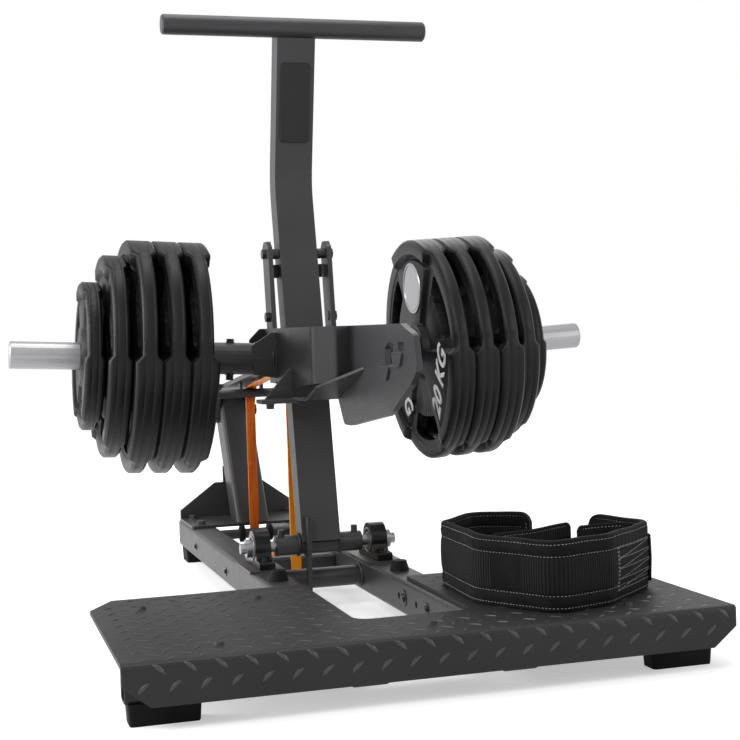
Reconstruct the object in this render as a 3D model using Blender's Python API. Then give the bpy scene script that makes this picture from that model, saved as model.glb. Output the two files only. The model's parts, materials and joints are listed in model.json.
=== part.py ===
"""Belt squat machine: a lever arm with loaded sleeves, a tilting T-handle post, a platform and a belt."""
import bpy
import bmesh
import math
from mathutils import Matrix, Vector

# Every length is in metres. X runs to the right, Y to the rear and Z up, with the shaft of the handle over y = 0.

# Clearances
gap = 0.0003
running_gap = 0.0005

# Depth that a welded or bolted-on shape sinks into the piece that carries it
weld_sink = 0.0006

# Length of a cutter that runs right through a piece, and how far a mask passes an edge it leaves alone
cutter_reach = 0.4
mask_overrun = 0.01

# Sides of a round piece, of a small round piece and of a hexagon
round_facets = 24
small_facets = 12
hexagon_facets = 6

# Steps around a bend in a sheet, in the band and in the belt
bend_steps = 4
band_steps = 6
belt_steps = 6

# Level of the floor below the frame's own zero
floor_level = -0.0125

# Ground rails
rail_size = 0.060
rail_wall = 0.003
rail_spread = 0.114
rail_bottom = 0.020
rail_rear = 0.774
rail_front = -0.715
rail_corner = 0.006
rail_bolt_radius = 0.006
rail_bolt_places = (-0.235, -0.330, -0.480)

# Cross members between the rails
front_cross_radius = 0.019
front_cross_y = 0.008
front_cross_z = 0.050
middle_cross_front = 0.187
middle_cross_depth = 0.040
middle_cross_height = 0.030
middle_cross_z = 0.050
tube_wall = 0.003

# Platform
deck_half_width = 0.465
deck_front = -0.730
deck_back = -0.250
deck_thickness = 0.0065
deck_chamfer_x = 0.043
deck_chamfer_y = 0.075
notch_half_width = 0.094
notch_front = -0.579
notch_radius = 0.025
deck_bend = 0.010
flange_height = 0.0545
flange_side_height = 0.015
flange_slant = 0.0395
bearer_depth = 0.040
bearer_front_y = -0.659
bearer_rear_y = -0.343
bearer_front_end = 0.4555
bearer_rear_end = 0.405
bearer_corner = 0.005
bearer_bore_corner = 0.002
deck_foot_inner = 0.348
deck_foot_outer = 0.4515
deck_foot_depth = 0.041
deck_foot_draft = 0.002
foot_corner = 0.006
rail_foot_length = 0.070
rail_foot_y = 0.725
deck_screw_places = ((0.385, -0.347), (0.194, -0.339), (0.318, -0.659), (0.0, -0.657))
deck_screw_radius = 0.008
deck_screw_crown = 0.0050
deck_screw_height = 0.005

# Rubber bumpers on the rails
bumper_y = -0.150
bumper_base_radius = 0.018
bumper_top_radius = 0.013
bumper_height = 0.018

# Bearings of the handle shaft
pad_thickness = 0.004
pad_half_width = 0.034
pad_half_length = 0.066
bearing_centre_height = 0.0333
bearing_width = 0.030
bearing_foot_height = 0.014
bearing_half_length = 0.0635
bearing_ring_radius = 0.033
bearing_bolt_y = 0.0475

# Handle shaft
shaft_radius = 0.010
shaft_end = 0.152
shaft_tube_radius = 0.019
shaft_tube_bore = 0.0105
shaft_tube_end = 0.084
collar_radius = 0.017
collar_width = 0.012
set_screw_x = 0.072

# Handle post
post_width = 0.075
post_depth = 0.045
post_wall = 0.003
post_foot_z = 0.126
post_bend_y = 0.1018
post_bend_z = 0.813
post_lower_slope = 0.1882
post_upper_slope = -0.2322
post_bend_radius = 0.150
post_overrun = 0.045
post_top_z = 1.104
handle_radius = 0.019
handle_half_length = 0.259
handle_behind_front = 0.0077702
handle_over_post = 0.002
handle_end_chamfer = 0.003
badge_width = 0.058
badge_height = 0.148
badge_below_top = 0.063
badge_thickness = 0.004
badge_corner = 0.008

# Stop fin on the foot of the handle post
fin_x = -0.026
fin_thickness = 0.008
fin_top_y = -0.042
fin_top_z = 0.174
fin_nose = ((-0.034, 0.033), (-0.022, 0.033), (-0.0205, 0.090), (-0.008, 0.098))

# Catch blocks on the sides of the handle post
catch_top = 0.656
catch_height = 0.026
catch_front = 0.1015
catch_depth = 0.017
catch_reach = 0.015

# Rear base plate, rear post and its gusset
base_plate_half_width = 0.143
base_plate_front = 0.590
base_plate_rear = 0.765
base_plate_thickness = 0.006
base_bolt_x = 0.117
base_bolt_places = (0.615, 0.728)
rear_post_lean = math.radians(31.9)
rear_post_width = 0.075
rear_post_depth = 0.074
rear_post_wall = 0.004
rear_post_corner = 0.008
rear_post_over_pivot = 0.018
gusset_y = 0.753
gusset_thickness = 0.006
gusset_shoulder = 0.058
gusset_shoulder_z = 0.167
gusset_edge_z = 0.105

# Band loop and what it hangs on
band_width = 0.022
band_thickness = 0.005
band_peg_y = 0.569
band_peg_z = 0.065
band_peg_radius = 0.011
peg_ring_x = 0.032
peg_ring_radius = 0.019
peg_ring_width = 0.010
crossbar_z = 0.386
crossbar_radius = 0.010
crossbar_half_length = 0.108
front_rod_y = 0.198
front_rod_radius = 0.008
front_rod_half_length = 0.032
band_beam_clearance = 0.0015
hanger_thickness = 0.006
hanger_x = 0.024
hanger_half_depth = 0.009

# Lever hinge and lever beam
hinge_y = 0.788
hinge_z = 0.337
hinge_radius = 0.008
beam_half_width = 0.0375
beam_thickness = 0.010
beam_front_z = 0.4734
beam_slope = -0.1137
beam_rear = 0.820
lug_thickness = 0.009
lug_radius = 0.030

# Lever head
back_plate_front = 0.104
back_plate_thickness = 0.006
back_plate_half_width = 0.098
back_plate_shoulder = 0.077
back_plate_bottom = 0.447
head_top = 0.531
wall_inner = 0.064
wall_thickness = 0.006
wall_fold_y = -0.266
seam_x = 0.033
seam_y = -0.291
nose_y = -0.281
floor_thickness = 0.005
floor_rear_y = 0.004
floor_notch_y = -0.180
floor_bend_y = -0.195
floor_rear_z = 0.397
floor_bend_z = 0.404
floor_tip_y = -0.368
floor_tip_z = 0.460

# Lower edge of the head walls, from the back plate to the front
wall_rear_bottom = 0.455
wall_profile = ((0.055, 0.452), (0.010, 0.432), (-0.045, 0.4215), (-0.112, 0.4215), (-0.266, 0.433), (-0.345, 0.442))
wall_profile_rounds = (0.03, 0.03, 0.02, 0.02, 0.02, 0)

# Hook plate: side profile below its top edge from rear to front, with two slots and a tongue below each
hook_thickness = 0.010
hook_rear_y = -0.197
hook_front_y = -0.566
hook_profile = ((-0.195, 0.404), (-0.231, 0.3585), (-0.270, 0.3585), (-0.486, 0.386), (-0.512, 0.394),
                (-0.552, 0.414), (-0.604, 0.438), (-0.634, 0.458), (-0.635, 0.472), (-0.625, 0.514),
                (-0.590, 0.5235))
hook_rounds = (0, 0.014, 0.014, 0.012, 0.012, 0.012, 0.03, 0.012, 0.012, 0.012, 0.012)
hook_top_round = 0.004
rear_slot = ((-0.480, 0.466), (-0.480, 0.492), (-0.500, 0.503), (-0.528, 0.503), (-0.524, 0.466))
rear_slot_rounds = (0.004, 0.010, 0.010, 0.004, 0.004)
front_slot = ((-0.550, 0.489), (-0.550, 0.503), (-0.582, 0.503), (-0.580, 0.489))
front_slot_round = 0.004
hook_tongue_thickness = 0.005
hook_tongue_height = 0.022
hook_tongues = ((-0.484, 0.464, 0.027), (-0.553, 0.487, 0.026))

# Link bars
link_width = 0.050
link_thickness = 0.009
link_top_z = 0.700
link_bottom_z = 0.425
link_slope = 0.119
link_axis_y = 0.090
link_axis_z = 0.676
link_lower_bolt_z = 0.553
link_bolt_end = 0.0015
link_stub_gap = 0.0015
stub_radius = 0.010

# Loading sleeves
sleeve_y = 0.020
sleeve_z = 0.46875
sleeve_tilt = math.radians(3.0)
sleeve_radius = 0.025
sleeve_end = 0.560
holder_radius = 0.030
holder_end = 0.205
holder_bolt_s = 0.155
bracket_thickness = 0.006
bracket_reach = 0.116

# Stop brackets under the lever head
stop_y = -0.140
stop_length = 0.050
stop_z = 0.400
stop_thickness = 0.007
stop_end = 0.136
stop_bolt_x = 0.116

# Weight discs: radius, thickness, inner end along the sleeve
disc_bore_clearance = 0.0006
disc_start = 0.213
disc_arc_steps = 3
disc_window_half_angle = math.radians(29.0)
disc_step_angle = math.radians(3.0)
large_disc = {"radius": 0.215, "thickness": 0.0482, "recess": 0.011, "rim": 0.028}
medium_disc = {"radius": 0.186, "thickness": 0.042, "recess": 0.007, "rim": 0.026}
small_disc = {"radius": 0.136, "thickness": 0.036, "recess": 0.005, "rim": 0.021}
disc_hub_radius = 0.052
disc_web_share = 0.44
disc_spoke_share = 0.66
disc_hub_share = 0.92
disc_window_inner = 0.615
disc_window_outer = 0.835
disc_window_turns = (math.radians(21), math.radians(23))

# Belt that stands on the platform
belt_height = 0.110
belt_thickness = 0.012
belt_path = ((0.285, -0.362), (0.213, -0.296), (0.131, -0.366), (0.124, -0.540), (0.200, -0.664),
             (0.292, -0.637), (0.414, -0.531), (0.364, -0.428))
belt_corner = 0.028
belt_corners = (0, belt_corner, belt_corner, 0.06, belt_corner, 0.04, belt_corner, 0)
belt_centre = (0.26, -0.48)
strap_height = 0.050
strap_thickness = 0.005
strap_overhang = 0.010

rail_top = rail_bottom + rail_size
deck_top = rail_top + gap + deck_thickness
pad_top = rail_top + pad_thickness
shaft_z = pad_top + gap + bearing_centre_height
post_half = post_width / 2
handle_y = post_bend_y + post_upper_slope * (post_top_z - post_bend_z) + handle_behind_front
handle_z = post_top_z + handle_over_post
badge_top = post_top_z - badge_below_top
badge_bottom = badge_top - badge_height
rear_post_half = rear_post_width / 2
lug_inner = rear_post_half + running_gap
back_plate_rear = back_plate_front + back_plate_thickness


sides = ((-1, "left"), (1, "right"))


def clear_scene():
    for old in list(bpy.data.objects):
        bpy.data.objects.remove(old, do_unlink=True)


def make_collection(name):
    made = bpy.data.collections.new(name)
    bpy.context.scene.collection.children.link(made)
    return made


clear_scene()
parts = make_collection("belt_squat_machine")
cutters = make_collection("cutters")


def make_material(name, colour, roughness, metallic):
    made = bpy.data.materials.new(name)
    made.use_nodes = True
    shader = made.node_tree.nodes["Principled BSDF"]
    shader.inputs["Base Color"].default_value = (*colour, 1)
    shader.inputs["Roughness"].default_value = roughness
    shader.inputs["Metallic"].default_value = metallic
    return made


def frame_paint():
    return ("frame_paint", (0.045, 0.046, 0.048), 0.42, 0.0)


def deck_paint():
    return ("deck_paint", (0.040, 0.041, 0.043), 0.50, 0.0)


def bright_steel():
    return ("bright_steel", (0.70, 0.70, 0.71), 0.28, 1.0)


def black_steel():
    return ("black_steel", (0.020, 0.020, 0.022), 0.35, 0.6)


def black_rubber():
    return ("black_rubber", (0.022, 0.022, 0.023), 0.62, 0.0)


def black_plastic():
    return ("black_plastic", (0.030, 0.030, 0.031), 0.50, 0.0)


def disc_rubber():
    return ("disc_rubber", (0.025, 0.025, 0.026), 0.48, 0.0)


def orange_rubber():
    return ("orange_rubber", (0.80, 0.26, 0.03), 0.45, 0.0)


def belt_fabric():
    return ("belt_fabric", (0.020, 0.020, 0.021), 0.85, 0.0)


def empty(name, place, rotation=(0, 0, 0), parent=None):
    made = bpy.data.objects.new(name, None)
    made.empty_display_size = 0.05
    made.location = place
    made.rotation_euler = rotation
    made.parent = parent
    parts.objects.link(made)
    return made


def place(made, pivot, location, rotation=(0, 0, 0)):
    """Place an object at machine coordinates under the empty of its body."""
    made.parent = pivot
    made.location = Vector(location) - Vector(pivot.location)
    made.rotation_euler = rotation
    return made


def dress(made, finish):
    label, colour, roughness, metallic = finish
    made.data.materials.clear()
    made.data.materials.append(make_material(f"{made.name}_{label}", colour, roughness, metallic))
    return made


def smooth(made, degrees=35):
    made.data.shade_smooth()
    made.data.set_sharp_from_angle(angle=math.radians(degrees))
    return made


def mesh_object(name, form, home=parts):
    mesh = bpy.data.meshes.new(name)
    form.to_mesh(mesh)
    form.free()
    made = bpy.data.objects.new(name, mesh)
    home.objects.link(made)
    return made


def box_form(size, centre=(0, 0, 0)):
    form = bmesh.new()
    bmesh.ops.create_cube(form, size=1)
    bmesh.ops.scale(form, vec=size, verts=form.verts)
    bmesh.ops.translate(form, vec=centre, verts=form.verts)
    return form


def cylinder_form(radius, length, axis="Z", centre=(0, 0, 0), facets=round_facets, end_radius=None):
    form = bmesh.new()
    top = radius if end_radius is None else end_radius
    bmesh.ops.create_cone(form, cap_ends=True, segments=facets, radius1=radius, radius2=top, depth=length)
    turns = {"Z": Matrix.Identity(3), "X": Matrix.Rotation(math.radians(90), 3, "Y"),
             "Y": Matrix.Rotation(math.radians(-90), 3, "X")}
    bmesh.ops.rotate(form, matrix=turns[axis], verts=form.verts)
    bmesh.ops.translate(form, vec=centre, verts=form.verts)
    return form


def add_form(whole, extra):
    """Copy one form into another as a further closed body."""
    mesh = bpy.data.meshes.new("joined")
    extra.to_mesh(mesh)
    extra.free()
    whole.from_mesh(mesh)
    bpy.data.meshes.remove(mesh)
    return whole


def many(forms):
    whole = bmesh.new()
    for form in forms:
        add_form(whole, form)
    return whole


def fillet(points, radius, steps=6, closed=False):
    """Round the corners of a path with arcs."""
    count = len(points)
    rounded = []
    for index in range(count):
        corner = Vector(points[index])
        if not closed and index in (0, count - 1):
            rounded.append(corner)
            continue
        before = (Vector(points[index - 1]) - corner)
        after = (Vector(points[(index + 1) % count]) - corner)
        size = radius[index] if isinstance(radius, (list, tuple)) else radius
        half = before.angle(after) / 2
        turn = math.pi / 2 - half
        if size <= 0 or turn < 0.01:
            rounded.append(corner)
            continue
        reach = min(size * math.tan(turn), 0.49 * before.length, 0.49 * after.length)
        size = reach / math.tan(turn)
        middle = corner + (before.normalized() + after.normalized()).normalized() * (size / math.cos(turn))
        start = corner + before.normalized() * reach - middle
        finish = corner + after.normalized() * reach - middle
        sweep = start.angle_signed(finish)
        for step in range(steps + 1):
            angle = -sweep * step / steps
            spun = Vector((start.x * math.cos(angle) - start.y * math.sin(angle),
                           start.x * math.sin(angle) + start.y * math.cos(angle)))
            rounded.append(middle + spun)
    return rounded


def side_step(path, index, closed):
    """Unit normal to the right of a path and the stretch that keeps its offset even at a corner."""
    count = len(path)
    before = path[index] - path[index - 1] if closed or index > 0 else None
    after = path[(index + 1) % count] - path[index] if closed or index < count - 1 else None
    before = before if before is not None else after
    after = after if after is not None else before
    right_before = Vector((before.y, -before.x)).normalized()
    right_after = Vector((after.y, -after.x)).normalized()
    normal = (right_before + right_after).normalized()
    return normal / max(0.2, normal.dot(right_after))


def offset_path(path, distance, closed=False):
    return [path[index] + side_step(path, index, closed) * distance for index in range(len(path))]


def strip(path, near, far):
    """Outline of a strip that follows an open path between two offsets to its right."""
    return offset_path(path, near) + offset_path(path, far)[::-1]


def circle(centre, radius, facets=round_facets):
    return [Vector((centre[0] + radius * math.cos(math.tau * step / facets),
                    centre[1] + radius * math.sin(math.tau * step / facets))) for step in range(facets)]


def rounded_box(width, height, corner, steps=2):
    half_width = width / 2
    half_height = height / 2
    corners = ((-half_width, -half_height), (half_width, -half_height), (half_width, half_height),
               (-half_width, half_height))
    return fillet(corners, corner, steps, closed=True)


plane_turns = {"X": (math.radians(90), 0, math.radians(90)), "Y": (math.radians(90), 0, 0), "Z": (0, 0, 0)}


def outline_mesh(name, loops, thickness, home=parts):
    """Flat outline with holes, extruded evenly to both sides, as a welded mesh."""
    curve = bpy.data.curves.new(name, "CURVE")
    curve.dimensions = "2D"
    curve.fill_mode = "BOTH"
    curve.extrude = thickness / 2
    for loop in loops:
        spline = curve.splines.new("POLY")
        spline.points.add(len(loop) - 1)
        for point, spot in zip(spline.points, loop):
            point.co = (spot[0], spot[1], 0, 1)
        spline.use_cyclic_u = True
    drawn = bpy.data.objects.new(name + "_drawn", curve)
    home.objects.link(drawn)
    bpy.context.view_layer.update()
    depsgraph = bpy.context.evaluated_depsgraph_get()
    mesh = bpy.data.meshes.new_from_object(drawn.evaluated_get(depsgraph))
    bpy.data.objects.remove(drawn, do_unlink=True)
    bpy.data.curves.remove(curve)
    form = bmesh.new()
    form.from_mesh(mesh)
    bmesh.ops.remove_doubles(form, verts=form.verts, dist=0.00002)
    bmesh.ops.recalc_face_normals(form, faces=form.faces)
    form.to_mesh(mesh)
    form.free()
    mesh.name = name
    made = bpy.data.objects.new(name, mesh)
    home.objects.link(made)
    return made


def plate(name, loops, thickness, normal, level, pivot, finish):
    """Flat plate square to one axis, with its middle at the given level along that axis."""
    made = outline_mesh(name, loops, thickness)
    location = {"X": (level, 0, 0), "Y": (0, level, 0), "Z": (0, 0, level)}[normal]
    place(made, pivot, location, plane_turns[normal])
    return dress(made, finish)


def plate_form(loops, thickness, normal, level):
    """The same plate as a form in machine coordinates, for pieces made of several bodies."""
    made = outline_mesh("scrap", loops, thickness)
    form = bmesh.new()
    form.from_mesh(made.data)
    turn = Matrix.Rotation(0, 4, "X")
    if normal == "X":
        turn = Matrix.Rotation(math.radians(90), 4, "Z") @ Matrix.Rotation(math.radians(90), 4, "X")
    if normal == "Y":
        turn = Matrix.Rotation(math.radians(90), 4, "X")
    bmesh.ops.transform(form, matrix=turn, verts=form.verts)
    shift = {"X": (level, 0, 0), "Y": (0, level, 0), "Z": (0, 0, level)}[normal]
    bmesh.ops.translate(form, vec=shift, verts=form.verts)
    mesh = made.data
    bpy.data.objects.remove(made, do_unlink=True)
    bpy.data.meshes.remove(mesh)
    return form


def piece(name, form, pivot, finish):
    """Node made from a form in machine coordinates, with its origin on its body's pivot."""
    bmesh.ops.translate(form, vec=-Vector(pivot.location), verts=form.verts)
    made = mesh_object(name, form)
    made.parent = pivot
    return smooth(dress(made, finish))


def boolean(made, other, operation="DIFFERENCE"):
    step = made.modifiers.new(operation.lower(), "BOOLEAN")
    step.operation = operation
    step.solver = "EXACT"
    step.object = other
    return step


def cutter(name, form, pivot):
    bmesh.ops.translate(form, vec=-Vector(pivot.location), verts=form.verts)
    made = mesh_object(name, form, cutters)
    made.parent = pivot
    made.hide_render = True
    made.display_type = "WIRE"
    return made


def cut(made, form, pivot):
    boolean(made, cutter(f"{made.name}_cutter_{len(made.modifiers)}", form, pivot))
    return made


def bolt_forms(spot, axis, side, across=0.017, head=0.007, washer=0.012, washer_thickness=0.0018):
    """Hexagon head on a washer, both sunk a little into the face that carries them."""
    direction = {"X": Vector((1, 0, 0)), "Y": Vector((0, 1, 0)), "Z": Vector((0, 0, 1))}[axis] * side
    start = Vector(spot) - direction * weld_sink
    disc = cylinder_form(washer, washer_thickness + weld_sink, axis,
                         start + direction * (washer_thickness + weld_sink) / 2, small_facets)
    tall = washer_thickness + head + 2 * weld_sink
    hexagon = cylinder_form(across / math.sqrt(3), tall, axis, start + direction * (tall / 2 - weld_sink / 2),
                            hexagon_facets)
    return [disc, hexagon]


def turned_form(profile, axis, centre, facets=32):
    """Solid turned about an axis from radius and height pairs, from its top end to its lower end."""
    form = bmesh.new()
    spots = [(0, 0, profile[0][1]), *[(radius, 0, height) for radius, height in profile], (0, 0, profile[-1][1])]
    verts = [form.verts.new(spot) for spot in spots]
    edges = [form.edges.new(pair) for pair in zip(verts, verts[1:])]
    bmesh.ops.spin(form, geom=verts + edges, cent=(0, 0, 0), axis=(0, 0, 1), angle=math.tau, steps=facets,
                   use_merge=True)
    bmesh.ops.remove_doubles(form, verts=form.verts, dist=0.00002)
    turns = {"Z": Matrix.Identity(3), "X": Matrix.Rotation(math.radians(90), 3, "Y")}
    bmesh.ops.rotate(form, matrix=turns[axis], verts=form.verts)
    bmesh.ops.translate(form, vec=centre, verts=form.verts)
    bmesh.ops.recalc_face_normals(form, faces=form.faces)
    return form


def tube_form(radius, bore, length, axis, centre, facets=round_facets):
    outer = circle((0, 0), radius, facets)
    inner = circle((0, 0), bore, facets)
    turned = plate_form([outer, inner], length, axis, 0)
    bmesh.ops.translate(turned, vec=centre, verts=turned.verts)
    return turned


def post_front_y(z):
    """Front face of the handle post at a height."""
    slope = post_lower_slope if z < post_bend_z else post_upper_slope
    return post_bend_y + slope * (z - post_bend_z)


def beam_top(y):
    return beam_front_z + beam_slope * (y - back_plate_rear)


def link_y(z):
    return link_axis_y + link_slope * (z - link_axis_z)


def rear_post_front(z):
    """Front face of the rear post at a height: its axis runs through the lever hinge."""
    horizontal_half = rear_post_depth / 2 / math.cos(rear_post_lean)
    return hinge_y - horizontal_half - (hinge_z - z) * math.tan(rear_post_lean)


def rear_post_rear(z):
    return rear_post_front(z) + rear_post_depth / math.cos(rear_post_lean)


# The footprint runs from the platform's front edge to the rear upper corner of the rear post.
rear_reach = hinge_y + rear_post_over_pivot * math.sin(rear_post_lean) \
    + rear_post_depth / 2 * math.cos(rear_post_lean)
footprint_centre = (deck_front + rear_reach) / 2

machine = empty("machine", (0, -footprint_centre, -floor_level))
base = empty("base", (0, 0, 0), parent=machine)
handle = empty("handle_pivot", (0, 0, shaft_z), parent=machine)
lever = empty("lever_pivot", (0, hinge_y, hinge_z), parent=machine)
belt_stand = empty("belt_stand", (*belt_centre, deck_top), parent=machine)
stack_turn = math.pi / 2 - sleeve_tilt
stack_right = empty("stack_right", (0, sleeve_y, sleeve_z), (0, stack_turn, 0), machine)
stack_left = empty("stack_left", (0, sleeve_y, sleeve_z), (0, stack_turn, math.pi), machine)


def build_rails():
    outer = rounded_box(rail_size, rail_size, rail_corner)
    inner = rounded_box(rail_size - 2 * rail_wall, rail_size - 2 * rail_wall, rail_corner - rail_wall)
    length = rail_rear - rail_front
    middle_z = rail_bottom + rail_size / 2
    pad_height = pad_thickness + rail_wall / 2
    for side, name in ((-1, "rail_left"), (1, "rail_right")):
        tube = plate_form([outer, inner], length, "Y", 0)
        bmesh.ops.translate(tube, vec=(side * rail_spread, (rail_rear + rail_front) / 2, middle_z), verts=tube.verts)
        pad = box_form((2 * pad_half_width, 2 * pad_half_length, pad_height),
                       (side * rail_spread, 0, pad_top - pad_height / 2))
        rail = piece(name, united([tube, pad]), base, frame_paint())
        holes = [cylinder_form(rail_bolt_radius, rail_size * 1.4, "X", (side * rail_spread, y, middle_z), small_facets)
                 for y in rail_bolt_places]
        cut(rail, many(holes), base)


def build_cross_members():
    inner_face = rail_spread - rail_size / 2 - gap
    front = tube_form(front_cross_radius, front_cross_radius - tube_wall, 2 * inner_face, "X",
                      (0, front_cross_y, front_cross_z))
    piece("front_cross_tube", front, base, frame_paint())
    outer = rounded_box(middle_cross_depth, middle_cross_height, 0.005, 1)
    inner = rounded_box(middle_cross_depth - 2 * tube_wall, middle_cross_height - 2 * tube_wall, 0.002, 1)
    middle = plate_form([outer, inner], 2 * inner_face, "X", 0)
    bmesh.ops.translate(middle, vec=(0, middle_cross_front + middle_cross_depth / 2, middle_cross_z),
                        verts=middle.verts)
    piece("middle_cross_tube", middle, base, frame_paint())
    peg = cylinder_form(band_peg_radius, 2 * inner_face, "X", (0, band_peg_y, band_peg_z))
    piece("band_peg", peg, base, frame_paint())
    for side, word in sides:
        ring = tube_form(peg_ring_radius, band_peg_radius + gap, peg_ring_width, "X",
                         (side * peg_ring_x, band_peg_y, band_peg_z))
        piece(f"peg_ring_{word}", ring, base, black_rubber())


def deck_outline():
    back = deck_half_width - deck_chamfer_x
    side_y = deck_back - deck_chamfer_y
    corners = [(-deck_half_width, deck_front), (deck_half_width, deck_front), (deck_half_width, side_y),
               (back, deck_back), (notch_half_width, deck_back), (notch_half_width, notch_front),
               (-notch_half_width, notch_front), (-notch_half_width, deck_back), (-back, deck_back),
               (-deck_half_width, side_y)]
    rounds = [0.004, 0.004, 0.004, 0.004, 0.004, notch_radius, notch_radius, 0.004, 0.004, 0.004]
    return fillet(corners, rounds, 4, closed=True)


def deck_form():
    """Tread plate bent down along its front edge, with the notch and the corners cut out of it."""
    bottom = deck_top - deck_thickness - flange_height
    over = mask_overrun
    path = fillet([(deck_back + over, deck_top), (deck_front, deck_top), (deck_front, bottom - over)],
                  [0, deck_bend, 0], bend_steps)
    sheet = plate_form([strip(path, -deck_thickness, 0)], 2 * deck_half_width + over, "X", 0)
    plan = plate_form([deck_outline()], cutter_reach, "Z", deck_top)
    side = bottom + flange_height - flange_side_height
    low = deck_half_width - flange_slant
    face = plate_form([[(-low, bottom), (low, bottom), (deck_half_width + over, side),
                        (deck_half_width + over, deck_top + over), (-deck_half_width - over, deck_top + over),
                        (-deck_half_width - over, side)]], 2 * (deck_back - deck_front), "Y",
                      (deck_front + deck_back) / 2)
    return masked(sheet, [plan, face])


def masked(form, masks):
    """What a form shares with each of some masks."""
    whole = mesh_object("scrap_masked", form)
    others = [mesh_object(f"scrap_mask_{index}", mask) for index, mask in enumerate(masks)]
    for other in others:
        boolean(whole, other, "INTERSECT")
    return taken(whole, others)


def build_platform():
    forms = [deck_form()]
    bearer_height = rail_size + gap + weld_sink
    rail_face = rail_spread + rail_size / 2 + gap
    inner_face = rail_spread - rail_size / 2 - gap
    spans = [(-inner_face, inner_face, bearer_front_y)]
    for y, end in ((bearer_front_y, bearer_front_end), (bearer_rear_y, bearer_rear_end)):
        spans += [(rail_face, end, y), (-end, -rail_face, y)]
    for start, end, y in spans:
        outer = rounded_box(bearer_depth, bearer_height, bearer_corner, 1)
        inner = rounded_box(bearer_depth - 2 * tube_wall, bearer_height - 2 * tube_wall, bearer_bore_corner, 1)
        bearer = plate_form([outer, inner], end - start, "X", (start + end) / 2)
        bmesh.ops.translate(bearer, vec=(0, y, rail_bottom + bearer_height / 2), verts=bearer.verts)
        forms.append(bearer)
    for x, y in deck_screw_places:
        for side in ((-1, 1) if x else (1,)):
            forms.append(cylinder_form(deck_screw_radius, deck_screw_height + weld_sink, "Z",
                                       (side * x, y, deck_top + (deck_screw_height - weld_sink) / 2),
                                       small_facets, end_radius=deck_screw_crown))
    made = piece("deck", united(forms), base, deck_paint())
    smooth(made, 25)


def foot_form(width, depth, centre):
    """Moulded foot between the floor and the tube above it, a little narrower below, with rounded corners."""
    top = rail_bottom - gap
    form = plate_form([rounded_box(width, depth, foot_corner)], top - floor_level, "Z", (top + floor_level) / 2)
    middle = (top + floor_level) / 2
    low = [vert for vert in form.verts if vert.co.z < middle]
    bmesh.ops.scale(form, vec=(1 - 2 * deck_foot_draft / width, 1 - 2 * deck_foot_draft / depth, 1), verts=low)
    bmesh.ops.translate(form, vec=(*centre, 0), verts=form.verts)
    return form


def build_feet():
    width = deck_foot_outer - deck_foot_inner
    middle = (deck_foot_outer + deck_foot_inner) / 2
    for side, word in sides:
        foot = foot_form(width, deck_foot_depth, (side * middle, bearer_front_y))
        piece(f"deck_foot_{word}", foot, base, black_rubber())
        pad = foot_form(rail_size - 0.006, rail_foot_length, (side * rail_spread, rail_foot_y))
        piece(f"rail_foot_{word}", pad, base, black_rubber())


def build_bumpers():
    middle = rail_top + gap + bumper_height / 2
    for side, word in sides:
        cone = cylinder_form(bumper_base_radius, bumper_height, "Z", (side * rail_spread, bumper_y, middle), round_facets,
                             bumper_top_radius)
        piece(f"bumper_{word}", cone, base, black_rubber())


def build_bearings():
    foot = shaft_z - bearing_centre_height
    shoulder = foot + bearing_foot_height
    corner = 0.003
    ring = [Vector((bearing_ring_radius * math.cos(angle), shaft_z + bearing_ring_radius * math.sin(angle)))
            for angle in (math.radians(-10 + 200 * step / 14) for step in range(15))]
    outline = [Vector((-bearing_half_length, foot)), Vector((bearing_half_length, foot)),
               Vector((bearing_half_length, shoulder - corner)), Vector((bearing_half_length - corner, shoulder)),
               Vector((bearing_ring_radius + 0.004, shoulder + 0.001)), *ring,
               Vector((-bearing_ring_radius - 0.004, shoulder + 0.001)),
               Vector((-bearing_half_length + corner, shoulder)), Vector((-bearing_half_length, shoulder - corner))]
    bore = circle((0, shaft_z), shaft_radius + running_gap)
    for side, word in sides:
        forms = [plate_form([outline, bore], bearing_width, "X", side * rail_spread)]
        for end in (-1, 1):
            forms += bolt_forms((side * rail_spread, end * bearing_bolt_y, shoulder), "Z", 1,
                                across=0.014, head=0.007, washer=0.010)
        piece(f"bearing_{word}", united(forms), base, black_steel())


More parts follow.
